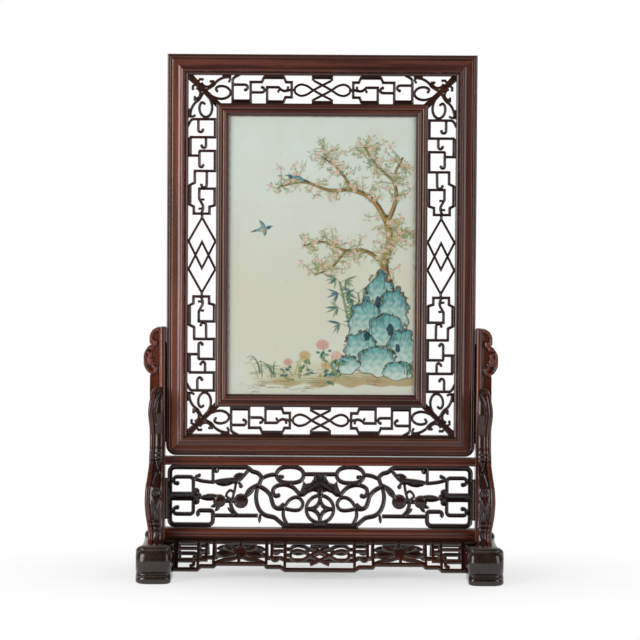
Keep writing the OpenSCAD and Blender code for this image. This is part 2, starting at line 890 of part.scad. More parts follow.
// Outline of a foot in X and Z, seen from its end
function foot_end() =
  let (x = foot_w / 2, t = foot_h + scroll_rise, r = 8)
    concat(
      [[x - 2.6, 0], [x - 1.6, 1], [x - 1.4, 8], [x - 1.6, 11], [x - 0.6, 18], [x, 26]],
      arc([x - r, t - r], r, 0, 90, 6),
      arc([r - x, t - r], r, 90, 180, 6),
      [[-x, 26], [0.6 - x, 18], [1.6 - x, 11], [1.4 - x, 8], [1.6 - x, 1], [2.6 - x, 0]]
    );

// Foot on the +X side
module foot() {
  p = foot_outline();
  n = len(p);
  difference() {
    translate([post_x, 0, 0])
      intersection() {
        rotate([90, 0, 90])
          linear_extrude(height = 2 * foot_w, center = true)
            polygon(concat(p, [for (i = [n - 2:-1:1]) [-p[i].x, p[i].y]]));
        board(-foot_l, 2 * foot_l)
          polygon(foot_end());
      }
    foot_tenon(joint_gap);
    for (m = [-1, 1])
      scale([1, m, 1]) {
        bracket_tenons(joint_gap);
        apron_tenon(joint_gap);
      }
  }
}

module foot_right() {
  color(wood_dark)
    foot();
}

module foot_left() {
  color(wood_dark)
    mirror([1, 0, 0])
      foot();
}

// Sockets in a rail for the tenons of the pierced panel, and the tenons themselves
module pierced_tenons(g) {
  for (m = [-1, 1])
    scale([m, 1, 1]) {
      for (x = [120, 166])
        block(
          [x * post_in / pierced_sheet.x - 10 - g, -stand_tenon_t / 2 - g, pierced_z + pierced_h - 3],
          [
            x * post_in / pierced_sheet.x + 10 + g,
            stand_tenon_t / 2 + g,
            pierced_z + pierced_h + stand_tenon + g
          ]
        );
      for (x = [26, 168])
        block(
          [x * post_in / pierced_sheet.x - 10 - g, -stand_tenon_t / 2 - g, pierced_z - stand_tenon - g],
          [x * post_in / pierced_sheet.x + 10 + g, stand_tenon_t / 2 + g, pierced_z + 3]
        );
    }
}

// Rail of depth d with its lower face at height z
module rail(z, d) {
  difference() {
    union() {
      block([-post_in, -d / 2, z], [post_in, d / 2, z + rail_h]);
      rail_tenon(z, 0);
      mirror([1, 0, 0])
        rail_tenon(z, 0);
    }
    pierced_tenons(joint_gap);
  }
}

module upper_rail() {
  color(wood_dark)
    rail(up_rail_z, upper_rail_d);
}

module lower_rail() {
  color(wood_dark)
    rail(low_rail_z, lower_rail_d);
}

// Half of the pierced panel: square scrolls at the end, then fruit and leaves, then a curled cartouche
module pierced_half() {
  bar(concat([[98, 81.2]], arc([189.4, 74.6], 6.6, 90, 0, 5), arc([189.4, 10.4], 6.6, 0, -90, 5),
    arc([146.4, 10.4], 6.6, 270, 180, 5), arc([143.8, 19], 4, 180, 90, 4),
    curl([156, 23], 0, -1, 3.6, 150)), 6.4, 4.4);
  bar([[199, 66], [199, 12]], 8);
  knobbed(concat([[165.4, 46], [165.4, 63]], arc([170, 63.2], 4.6, 180, 90, 4),
    curl([187, 67.8], 0, -1, 4.4, 190)), 4.4, 5.4);
  knobbed(concat([[165.4, 40], [165.4, 23]], arc([170, 22.8], 4.6, 180, 270, 4),
    curl([187, 18.2], 0, 1, 4.4, 190)), 4.4, 5.4);
  bar([[199, 41.9], [162, 41.9]], 11.2);
  for (p = [[161.6, 35.4], [158.6, 41.9], [161.6, 48.4]])
    translate(p)
      circle(d = 8.6, $fn = 14);
  knobbed([[164, 65.4], [161.4, 68.4], [158, 69.8]], 4, 4.8);
  bar(smooth([[166, 66], [159.3, 63.7], [152, 62], [139, 60.6]]), 4);
  bar([[139.8, 82], [139.8, 59]], 4);
  translate([135.4, 76.8])
    circle(d = 7, $fn = 12);
  leaf([141, 62.4], [101, 67.5], 8.8, 1.4);
  bar(smooth([[112, 59], [103.4, 65.7], [97.6, 72.4], [92, 79]]), 4.4);
  leaf([113.5, 68.6], [96, 71.5], 2, 3.4);
  knobbed([[107, 61.5], [104.6, 59], [103.4, 55.9]], 3.4, 5.4);
  bar([[110, 59], [111.6, 50], [114, 40]], 3.4);
  bar(smooth([[114.5, 37], [122.6, 43], [118, 50], [112.4, 46.4], [116, 37]]), 2.8);
  leaf([158, 40], [124, 41], 4.2, 4.6);
  translate([131.3, 36])
    circle(d = 16.6, $fn = 20);
  translate([103.4, 36])
    circle(d = 19, $fn = 20);
  leaf([143, 28], [128, 33], 2.4, 2.4);
  leaf([137.4, 22], [128.6, 32], 2.4, 2.4);
  bar([[128, 36], [108, 36]], 5);
  bar(smooth([[117, 36], [115.7, 28], [112.5, 21.5], [107, 16]]), 4.6);
  leaf([121, 27], [106, 15], 2.4, 2.4);
  leaf([99, 39], [80.6, 60.5], 3, 5.4);
  bar([[141, 16.4], [81, 16.4]], 4.6);
  leaf([79, 6.6], [77, 22], 1.6, 2.6);
  bar(smooth([[100, 81.6], [93, 79.3], [88.4, 75.4], [81.3, 73.2], [76.8, 68], [78.2, 62],
    [81.9, 52.7], [83.5, 42.3], [82.2, 31.9], [78, 22.8], [70.9, 16.9], [60, 14.3],
    [54, 9.8], [47.5, 4.2], [42, 3]]), 5.2);
  bar(smooth([[76, 66.3], [70.9, 68.9], [64.4, 70.9], [55, 71.5]]), 4.8);
  bar(smooth([[58, 71], [54, 78], [46, 81.4], [33, 81.4], [24.5, 78], [21.4, 71], [25, 64], [33, 60.8],
    [46, 60.8], [53, 63.6], [57, 69]]), 5);
  knobbed([[55.4, 66.4], [52.6, 69], [49.4, 68.4]], 3.6, 4.8);
  bar([[22, 72.2], [-1, 72.2]], 5);
  knobbed(smooth([[25, 42.4], [30.6, 50], [37, 55.3], [46.2, 58], [55.3, 56.8], [60.9, 52.6], [61.2, 46.4],
    [57.6, 42.8], [54.4, 43.6]]), 5, 5.6);
  bar(smooth([[80, 56], [70.9, 50.7], [64.8, 43.6], [62.7, 35.8], [59.8, 28.9], [54, 26], [46, 26.6]]), 5.4);
  knobbed([[54, 26.6], [51, 29], [48.6, 31.4]], 4.6, 4.8);
  bar(smooth([[47.4, 26.6], [41, 36.6], [33.2, 41.2], [26.4, 39.8], [22.4, 33.4], [24.8, 26.4], [30.6, 23.8],
    [39.7, 24.6], [48.4, 26.8]]), 4.2);
  bar(smooth([[47, 26.4], [48, 18.9], [46.6, 12.4], [42.6, 5]]), 4.4);
  bar([[50, 3.3], [-1, 3.3]], 6.6);
  polygon([[-1, 73], [7.4, 73], [8.6, 66], [12.4, 60.5], [18, 59], [22, 63.4], [23.4, 56], [26.4, 49], [27, 42],
    [21, 42.6], [15, 47.4], [9, 49.6], [4.4, 48.4], [3, 44], [-1, 44]]);
}

// Cash coin: a ring with four lens holes and a small hollow-sided diamond in its middle
module coin(r) {
  difference() {
    circle(r = r, $fn = 36);
    for (a = [45:90:315])
      rotate(a)
        intersection() {
          circle(r = 0.79 * r, $fn = 28);
          translate([1.02 * r, 0])
            circle(r = 0.6 * r, $fn = 24);
        }
    difference() {
      rotate(45)
        square(0.47 * r, center = true);
      for (a = [45:90:315])
        rotate(a)
          translate([0.62 * r, 0])
            circle(r = 0.46 * r, $fn = 20);
    }
  }
}

module pierced_panel() {
  k = [post_in / pierced_sheet.x, pierced_h / pierced_sheet.y];
  color(wood_dark) {
    translate([0, 0, pierced_z])
      board(-pierced_t / 2, pierced_t)
        offset(delta = 0)
          intersection() {
            union() {
              scale(k)
                both_ways()
                  pierced_half();
              translate([0, 25.6 * k.y])
                coin(20.4 * k.y);
            }
            translate([-post_in, 0])
              square([2 * post_in, pierced_h]);
          }
    pierced_tenons(0);
    pierced_side_tenon(0);
    mirror([1, 0, 0])
      pierced_side_tenon(0);
  }
}

// Aprons: boards that lean out from the lower rail to near the floor

// Length of an apron down its slope, and of its ears that pass over the feet to the posts
slope = (low_rail_z - apron_lift) / cos(apron_lean) - apron_t * tan(apron_lean);
ear = (rail_lift - 0.6) / cos(apron_lean) - apron_t * tan(apron_lean);

// Places children with y along the thickness and z up the slope under the front edge of the lower rail
module on_lean() {
  translate([0, -lower_rail_d / 2, low_rail_z])
    rotate([-apron_lean, 0, 0])
      children();
}

// Board of a drawing with x along the apron and y down its slope
module on_slope(t) {
  on_lean()
    board(0, t)
      mirror([0, 1])
        children();
}

// Half of the apron drawing: solid band, square cells, flower spray and the knot at the middle
module apron_half(w) {
  end = apron_sheet.y;
  side = apron_sheet.x;
  b = w * 1.25;
  tab(-1, side + 1, -9, 8.6);
  bar([[side - 2, 0], [side - 2, end]], 9);
  bar([[side, end - b / 2], [158, end - b / 2], [153.5, end - 5 - b / 2], [137, end - 5 - b / 2],
    [133.5, end - 9 - b / 2], [71, end - 9 - b / 2], [68, end - 4.5 - b / 2], [51, end - 4.5 - b / 2],
    [44.5, end - b / 2], [-1, end - b / 2]], b);
  for (x = [157, 137])
    bar([[x, 0], [x, end - 6]], w);
  for (x = [69, 45])
    bar([[x, 0], [x, end - 6]], w);
  hooked([side - 5, 35.5], [side - 23, 35.5], -1, 4, w);
  bar([[side - 5, 16.4], [157, 16.4]], w);
  bar([[146.5, 0], [146.5, 34], [157, 34]], w);
  bar([[157, 20], [146, 20]], w);
  hooked([62, 0], [62, 30], 1, 4.4, w);
  bar([[63, 20], [45, 20]], w);
  translate([103, 23.5])
    circle(d = 17, $fn = 18);
  leaf([135, 25], [108, 25], 5, 4.4);
  leaf([71, 27], [98, 25], 4.4, 5);
  leaf([126, 13], [108, 19.6], 2.6, 2.6);
  leaf([80, 13], [98, 19.6], 2.6, 2.6);
  bar(smooth([[104, 0], [101.4, 22], [105, 30], [103, 40.5]]), w);
  bar(smooth([[137, 39.5], [124, 34], [113, 32.6], [103, 29], [93, 32.6], [82, 34], [69, 39.5]]), w);
  translate([0, 6])
    scale([1.05, 1.1])
      knot(w);
  bar([[45, 26.3], [37.6, 26.3]], w);
}

module apron() {
  k = [foot_in / apron_sheet.x, slope / apron_sheet.y];
  difference() {
    on_slope(apron_t)
      offset(delta = 0)
        intersection() {
          union() {
            scale(k)
              both_ways()
                apron_half(3.6);
            both_ways()
              tab(foot_in - 6, post_in, -8, ear);
          }
          union() {
            translate([-foot_in, -8])
              square([2 * foot_in, slope + 8]);
            translate([-post_in, -8])
              square([2 * post_in, ear + 8]);
          }
        }
    block([-post_x, -post_d, low_rail_z], [post_x, post_d, low_rail_z + 30]);
  }
  apron_tenon(0);
  mirror([1, 0, 0])
    apron_tenon(0);
}

// Tenon at the +X end of the front apron, in the inner face of the foot
module apron_tenon(g) {
  on_lean()
    block(
      [foot_in - 3, 1 - g, -0.86 * slope - g],
      [foot_in + stand_tenon + g, apron_t - 1 + g, -0.48 * slope + g]
    );
}

module apron_front() {
  color(wood_dark)
    apron();
}

module apron_back() {
  color(wood_dark)
    mirror([0, 1, 0])
      apron();
}

frame_top_rail();
frame_bottom_rail();
frame_left_stile();
frame_right_stile();
inner_top_rail();
inner_bottom_rail();
inner_left_stile();
inner_right_stile();
fret_top();
fret_bottom();
fret_left();
fret_right();
corner_top_left();
corner_top_right();
corner_bottom_left();
corner_bottom_right();
plaque();
back_board();
post_left();
post_right();
foot_left();
foot_right();
bracket_front_left();
bracket_front_right();
bracket_back_left();
bracket_back_right();
upper_rail();
lower_rail();
pierced_panel();
apron_front();
apron_back();
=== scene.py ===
import math

import bmesh
import bpy
import numpy as np
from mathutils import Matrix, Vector
from mathutils.geometry import delaunay_2d_cdt


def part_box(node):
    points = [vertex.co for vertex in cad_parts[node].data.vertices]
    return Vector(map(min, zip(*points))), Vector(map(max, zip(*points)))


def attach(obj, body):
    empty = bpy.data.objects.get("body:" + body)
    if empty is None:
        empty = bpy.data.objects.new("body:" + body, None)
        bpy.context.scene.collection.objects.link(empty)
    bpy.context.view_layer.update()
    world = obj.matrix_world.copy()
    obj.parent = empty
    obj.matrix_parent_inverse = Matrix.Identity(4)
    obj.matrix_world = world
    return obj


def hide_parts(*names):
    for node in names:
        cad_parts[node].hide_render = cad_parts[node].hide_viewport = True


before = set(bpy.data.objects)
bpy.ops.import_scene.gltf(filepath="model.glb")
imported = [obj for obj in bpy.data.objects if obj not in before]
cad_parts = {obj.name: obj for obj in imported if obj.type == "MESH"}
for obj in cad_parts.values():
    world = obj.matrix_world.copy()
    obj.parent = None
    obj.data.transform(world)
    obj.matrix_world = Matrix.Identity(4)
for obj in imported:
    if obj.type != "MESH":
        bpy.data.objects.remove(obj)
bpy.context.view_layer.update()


# Outer frame
# Four moulded bars of rosewood, mitred and tenoned into each other at the corners.
# Each bar is planed to beads and a broad flat band, then oiled and rubbed by hand,
# so its arrises are soft and the beads catch the light.


def linear(colour):
    """Linear RGBA of an sRGB hex colour."""
    parts = [int(colour[i:i + 2], 16) / 255 for i in (1, 3, 5)]
    return [p / 12.92 if p <= 0.04045 else ((p + 0.055) / 1.055) ** 2.4 for p in parts] + [1.0]


def add(tree, kind, feeds=None, **settings):
    """Adds a shader node, sets its properties, and sets or links its inputs."""
    node = tree.nodes.new("ShaderNode" + kind)
    for name, value in settings.items():
        setattr(node, name, value)
    for key, value in (feeds or {}).items():
        if isinstance(value, bpy.types.NodeSocket):
            tree.links.new(value, node.inputs[key])
        else:
            node.inputs[key].default_value = value
    return node


def put(name, data):
    """Puts an object with this data into the scene."""
    item = bpy.data.objects.new(name, data)
    bpy.context.scene.collection.objects.link(item)
    return item


def new_material(name):
    """A material, its node tree and its main shader."""
    material = bpy.data.materials.new(name)
    material.use_nodes = True
    return material, material.node_tree, material.node_tree.nodes["Principled BSDF"]


def coated(tree, colour, coats, ease="LINEAR"):
    """A colour under coats of others: what each follows, from where to where, its share at both, its hue."""
    for value, start, end, at_start, at_end, hue in coats:
        share = add(tree, "MapRange", {"Value": value, "From Min": start, "From Max": end,
                                       "To Min": at_start, "To Max": at_end}, interpolation_type=ease)
        coat = add(tree, "Mix", {0: share.outputs[0], 6: colour, 7: linear(hue)}, data_type="RGBA")
        colour = coat.outputs[2]
    return colour


def rosewood(name, along, pore, body, red, rough, crest=None):
    """Oiled rosewood with its grain along X, Y or Z. Old rosewood gives the eye a deep red-brown body,
    near-black figure in long streaks, short open pores, a soft hand-rubbed gloss and grey dust on its
    ledges. Where crest names an attribute, its crests are lighter than its hollows: wear on the crests,
    painted shade in the hollows."""
    material, tree, shader = new_material(name)
    place = add(tree, "TexCoord").outputs["Object"]

    # figure 4 mm across and 140 mm long, tone 30 mm across and 400 mm long; pores are 0.2 mm wide
    # in the wood and are drawn 1.1 mm wide and 16 mm long, as fine as the render can show
    grains = []
    for across, length, detail in ((4.0, 140.0, 4.0), (30.0, 400.0, 2.0), (1.1, 16.0, 2.0)):
        scale = [1000 / across] * 3
        scale["XYZ".index(along)] = 1000 / length
        spread = add(tree, "Mapping", {"Vector": place, "Scale": scale})
        grains.append(add(tree, "TexNoise", {"Vector": spread.outputs[0], "Scale": 1.0, "Detail": detail,
                                             "Roughness": 0.55}).outputs["Fac"])
    figure, tone, pores = grains

    coats = [(tone, 0.35, 0.68, 0, 1, red), (figure, 0.34, 0.6, 0.58, 0, pore),
             (pores, 0.6, 0.74, 0, 0.5, pore)]
    # painted shade: low values of the crest attribute darken the wood toward the pore colour
    if crest:
        height = add(tree, "Attribute", attribute_name=crest).outputs["Fac"]
        coats.append((height, 0, 1, 0.92, 0, pore))
    # chips 1.3 mm wide, about 70 mm apart
    knock = add(tree, "TexVoronoi", {"Vector": place, "Scale": 1000 / 70}, feature="F1")
    coats.append((knock.outputs["Distance"], 0.012, 0.02, 0.7, 0, "#b08d66"))
    colour = coated(tree, linear(body), coats)

    # dust on what faces up, dull as well as pale
    ledge = add(tree, "SeparateXYZ", {0: add(tree, "NewGeometry").outputs["Normal"]}).outputs["Z"]
    settled = add(tree, "MapRange", {"Value": ledge, "From Min": 0.72, "From Max": 1.0, "To Max": 0.6})
    dust = add(tree, "Math", {0: settled.outputs[0], 1: tone}, operation="MULTIPLY")
    dusty = add(tree, "Mix", {0: dust.outputs[0], 6: colour, 7: linear("#8a8066")}, data_type="RGBA")
    tree.links.new(dusty.outputs[2], shader.inputs["Base Color"])
    gloss = add(tree, "MapRange", {"Value": figure, "From Min": 0.3, "From Max": 0.7, "To Min": rough + 0.06,
                                   "To Max": rough - 0.04})
    dull = add(tree, "Math", {0: settled.outputs[0], 1: 0.6, 2: gloss.outputs[0]}, operation="MULTIPLY_ADD")
    tree.links.new(dull.outputs[0], shader.inputs["Roughness"])
    bump = add(tree, "Bump", {"Height": pores, "Strength": 0.12, "Distance": 0.0002})
    tree.links.new(bump.outputs[0], shader.inputs["Normal"])
    shader.inputs["IOR"].default_value = 1.46
    shader.inputs["Coat Weight"].default_value = 0.2
    shader.inputs["Coat Roughness"].default_value = 0.16
    return material


def box_mm(node):
    """Lowest and highest corner of a node, in mm."""
    return np.array([list(corner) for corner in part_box(node)]) * 1000


def tube(rings, count, first=0):
    """Faces of a closed skin over rings of count points each, one ring after the other, both ends capped."""
    def at(ring, k):
        return first + ring * count + k % count

    faces = [(at(i, k), at(i, k + 1), at(i + 1, k + 1), at(i + 1, k))
             for i in range(rings - 1) for k in range(count)]
    return faces + [tuple(at(ring, k) for k in range(count)) for ring in (0, rings - 1)]


def joined(node, name, body, wood, points, faces, sharp, crest=None):
    """Makes the closed mesh that stands for a node, from points in mm, with its edges kept sharp over that
    many degrees. crest is the height of the carving at each point, from 0 to 1, where the wood shows it: the
    wood is painted lighter on the high points, for wear, and darker on the low ones, as painted shade."""
    mesh = bpy.data.meshes.new(name)
    mesh.from_pydata((np.asarray(points) / 1000).tolist(), [], faces)
    skin = bmesh.new()
    skin.from_mesh(mesh)
    bmesh.ops.recalc_face_normals(skin, faces=skin.faces)
    skin.to_mesh(mesh)
    skin.free()
    mesh.shade_smooth()
    mesh.set_sharp_from_angle(angle=math.radians(sharp))
    if crest is not None:
        wear_and_shade = mesh.attributes.new("crest", "FLOAT", "POINT")
        wear_and_shade.data.foreach_set("value", np.asarray(crest, np.float32))
    mesh.materials.append(wood)
    piece = put(name, mesh)
    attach(piece, body)
    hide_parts(node)
    return mesh


def mitred(node, wood, edge, inside, ends, radii, section, tongue=None):
    """One bar planed to a section and mitred at both ends. The section is given as distance in from the
    outer edge, depth behind the front face and how light the wood is painted there, lighter for wear on the
    crests and darker as painted shade in the quirks and down the deep fall; inside is the way in from the
    edge; radii round the outer corners; tongue gives the ends of the tongue on a stile."""
    low, high = box_mm(node)
    stations = 7
    points = []
    for end, radius, way in zip(ends, radii, (1, -1)):
        for k in range(stations)[::way]:
            turn = math.pi / 4 * (1 - k / (stations - 1))
            for d, drop, _ in section:
                rho = max(radius - d, 0)
                along = radius - rho * math.sin(turn) if rho else d + 0.3 * k
                inward = radius - rho * math.cos(turn) if rho else d
                spot = (end + way * along, low[1] + drop, edge + inside * inward)
                points.append(spot if node.endswith("rail") else spot[::-1])
    crest = [height for _, _, height in section] * (2 * stations)
    faces = tube(2 * stations, len(section))
    if tongue:
        faces += tube(4, 4, len(points))
        sunk, half_thick = 3, 5
        root, tip = edge + sunk * inside, low[0] if inside > 0 else high[0]
        for z, share in ((tongue[0], 0.8), (tongue[0] + 1, 1), (tongue[1] - 1, 1), (tongue[1], 0.8)):
            y = half_thick * share
            points += [(root, -y, z), (tip, -y, z), (tip, y, z), (root, y, z)]
        # the tongue is painted darker, as painted shade in the gap it sits in
        crest += [0.5] * 16
    joined(node, node + "_moulded", "screen_panel", wood, points, faces, 36, crest)


def mitred_frame(name, label, rough, tones_with_painted_light, section, corner=0.0, tongue=None):
    """Four bars mitred to a frame, each with tones of its own. The stiles' tones are painted light and shade:
    lighter on the side of the stronger left lamp. corner rounds the lower corners, tongue is the stiles'
    tongue over the frame's foot."""
    x = box_mm(name + "_top_rail")[:, 0]
    z = box_mm(name + "_bottom_rail")[0, 2], box_mm(name + "_top_rail")[1, 2]
    if tongue:
        tongue = (z[0] + tongue[0], z[0] + tongue[1])
    bars = (("top_rail", "X", z[1], -1, x, (0, 0), None),
            ("bottom_rail", "X", z[0], 1, x, (corner, corner), None),
            ("left_stile", "Z", x[0], 1, z, (corner, 0), tongue),
            ("right_stile", "Z", x[1], -1, z, (corner, 0), tongue))
    for (body, red), (bar, along, edge, inside, ends, radii, tenon) in zip(tones_with_painted_light, bars):
        wood = rosewood(f"oiled rosewood, {label} {bar}", along, "#180a08", body, red, rough, "crest")
        mitred(f"{name}_{bar}", wood, edge, inside, ends, radii, section, tenon)


# rim, bead, broad flat band, a slope up to a fillet, a lighter band, then the deep fall to the openwork
outer_section = [
    (0, 4.2, 0.7), (0.3, 3.0, 0.7), (0.9, 2.2, 0.7), (1.6, 2.0, 0.6), (2.1, 2.2, 0.3), (2.3, 2.7, 0),
    (2.5, 2.2, 0.3), (2.9, 1.5, 0.8), (3.5, 1.0, 1), (4.1, 0.9, 1), (4.8, 1.15, 0.9), (5.3, 1.8, 0.5),
    (5.6, 2.7, 0), (5.9, 2.0, 0.3), (6.5, 1.5, 0.9), (8, 1.3, 1), (10.5, 1.35, 1), (13, 1.5, 1),
    (14.2, 1.5, 0.9), (14.8, 1.3, 0.9), (15.7, 0.9, 1), (16.7, 0.4, 1), (17.1, 0.25, 1), (17.5, 0.3, 0.9),
    (17.9, 0.9, 0.2), (18.2, 0.9, 0.3), (18.6, 0.65, 0.8), (20.4, 0.25, 1), (21.4, 0.3, 1), (22, 0.7, 0.8),
    (22.4, 1.6, 0.6), (22.8, 3.4, 0.5), (23.6, 5.2, 0.4), (25, 6.6, 0.4), (27, 7.2, 0.4), (27, 21.2, 0.4),
    (26.2, 22, 0.6), (0.8, 22, 0.6), (0, 21.2, 0.6)]
# tones of top rail, bottom rail, left and right stile: the left stile painted lighter as painted light from
# the left lamp, the right one darker as painted shade
outer_tones_with_painted_light = [("#55312a", "#6a3c31"), ("#4c261c", "#603225"),
                ("#693d2f", "#824a37"), ("#4b281f", "#5d3026")]
mitred_frame("frame", "outer", 0.24, outer_tones_with_painted_light, outer_section, corner=13.0, tongue=(17, 147))


# Inner frame
# A lighter mitred frame that holds the plaque and its board in one groove. Same rosewood, planed to
# two half rounds with a quirk between them, held off the outer frame by the openwork.

inner_section = [(0, 3.4, 0.2), (0.3, 2.6, 0.2), (1.1, 2.3, 0.2)]
for middle, half, radius, crown in ((4.5, 3.15, 3.9, 0.1), (10.95, 2.75, 3.2, 0.6)):
    for k in np.linspace(-1, 1, 11):
        fall = radius - math.sqrt(radius ** 2 - (half * k) ** 2)
        inner_section.append((middle + half * k, crown + fall, 1 - 0.6 * k ** 4))
    inner_section.append((middle + half + 0.3, crown + 2.4, 0))
inner_section += [
    (15, 4.4, 0.4), (16.5, 5.0, 0.5), (16.5, 7.5, 0.4), (11.5, 7.5, 0.1), (11.5, 17.65, 0.3),
    (16.5, 17.65, 0.3), (16.5, 19.4, 0.4), (15.9, 20, 0.6), (0.6, 20, 0.6), (0, 19.4, 0.6)]
# tones of top rail, bottom rail, left and right stile: both stiles painted lighter than the rails as painted
# light from the side lamps, the left one most
inner_tones_with_painted_light = [("#55312a", "#6a3c31"), ("#52302a", "#673c31"),
                ("#6b4437", "#855340"), ("#5e4138", "#754e41")]
mitred_frame("inner", "inner", 0.19, inner_tones_with_painted_light, inner_section)


# Openwork
# Four runs of sawn fretwork and four corner scrolls between the two frames, tenoned into both.
# Sawn from 9 mm rosewood boards and filed on both faces: a bead along the edges of each bar,
# round stems in the corners.


def nearest(spots, a, b):
    """Distance from each spot to the nearest of the segments from a to b."""
    best = np.empty(len(spots))
    along = b - a
    size = np.maximum((along ** 2).sum(1), 1e-12)
    for s in range(0, len(spots), 2000):
        gap = spots[s:s + 2000, None] - a[None]
        t = np.clip((gap * along).sum(2) / size, 0, 1)
        best[s:s + 2000] = np.sqrt(((gap - t[..., None] * along) ** 2).sum(2).min(1))
    return best


def ways_in(spots, links):
    """Way into the wood at each point of an outline, from the pairs of points that follow each other."""
    first, then = spots[links[:, 0]], spots[links[:, 1]]
    run = (then - first) / np.maximum(np.linalg.norm(then - first, axis=1), 1e-9)[:, None]
    inward = np.zeros_like(spots)
    for end in links.T:
        np.add.at(inward, end, np.stack([-run[:, 1], run[:, 0]], 1))
    turn = np.sign(np.cross(first, then).sum())
    return inward * turn / np.maximum(np.linalg.norm(inward, axis=1), 1e-9)[:, None]


def fill(spots, follow, steps, pitch, swell=0.0):
    """Points and triangles over a board, from the points of its outline and which one follows which: rings
    of points at each step inside the outline, a grid in the middle, all in mm. swell widens the bars on
    each side. Gives the depth inside the outline as well, and the pairs of points along it."""
    outline = np.array(list(follow.items()))
    a, b = spots[outline[:, 0]], spots[outline[:, 1]]

    def within(spot):
        """True where a spot is in the wood."""
        held = np.empty(len(spot), bool)
        rise = b[:, 1] - a[:, 1]
        rise = np.where(np.abs(rise) < 1e-12, 1e-12, rise)
        for s in range(0, len(spot), 2000):
            q = spot[s:s + 2000, None]
            crossed = (a[None, :, 1] > q[..., 1]) != (b[None, :, 1] > q[..., 1])
            x = a[:, 0] + (q[..., 1] - a[:, 1]) / rise * (b[:, 0] - a[:, 0])
            held[s:s + 2000] = ((crossed & (q[..., 0] < x)).sum(1) % 2) == 1
        return held

    if swell:
        # less in narrow corners, where the outline would cross itself
        outward = -ways_in(spots, outline)
        reach = 3 * swell
        probe = spots + reach * outward
        room = np.where(within(probe), 0, nearest(probe, a, b) / reach)
        spots = spots + outward * swell * np.clip(room, 0, 1)[:, None]
        a, b = spots[outline[:, 0]], spots[outline[:, 1]]

    # border points close together, with the way into the wood at each
    apart = 1.4
    border, links, first = [], [], {}
    for i in follow:
        first[i] = len(border)
        border.append(spots[i])
    for i, j in follow.items():
        span = spots[j] - spots[i]
        count = int(np.linalg.norm(span) // apart)
        last = first[i]
        for k in range(1, count + 1):
            border.append(spots[i] + span * k / (count + 1))
            links.append((last, len(border) - 1))
            last = len(border) - 1
        links.append((last, first[j]))
    border, links = np.array(border), np.array(links)
    inward = ways_in(border, links)

    # a ring leaves out the points that another edge is nearer to, the grid those close to the last ring
    clear, margin = 0.93, 0.7
    rings = [border]
    for step in steps:
        ring = border + inward * step
        rings.append(ring[nearest(ring, a, b) > step * clear])
    low, high = border.min(0), border.max(0)
    grid = np.meshgrid(np.arange(low[0], high[0], pitch), np.arange(low[1], high[1], pitch))
    grid = np.stack(grid, -1).reshape(-1, 2)
    grid = grid[within(grid)]
    rings.append(grid[nearest(grid, a, b) > steps[-1] + margin])
    cloud = [Vector(p) for p in np.concatenate(rings)]
    spread = delaunay_2d_cdt(cloud, links.tolist(), [], 0, 1e-5)
    plan = np.array([tuple(p) for p in spread[0]])
    tiles = np.array([t for t in spread[2] if len(t) == 3])
    tiles = tiles[within(plan[tiles].mean(1))]
    used, tiles = np.unique(tiles, return_inverse=True)
    plan, tiles = plan[used], tiles.reshape(-1, 3)
    area = np.cross(plan[tiles[:, 1]] - plan[tiles[:, 0]], plan[tiles[:, 2]] - plan[tiles[:, 0]])
    tiles[area < 0] = tiles[area < 0][:, ::-1]
    inset = nearest(plan, a, b)
    inset[inset < 1e-3] = 0
    return plan, tiles, inset, open_pairs(tiles)


def open_pairs(tiles):
    """Pairs of points along the open edge of a sheet of triangles."""
    pairs = np.concatenate([tiles[:, [0, 1]], tiles[:, [1, 2]], tiles[:, [2, 0]]])
    known = {tuple(pair) for pair in pairs.tolist()}
    return [(p, q) for p, q in known if (q, p) not in known]


def values(items, name, kind=np.float32):
    """One property of many mesh items, a row of three each."""
    rows = np.empty(len(items) * 3, kind)
    items.foreach_get(name, rows)
    return rows.reshape(-1, 3)


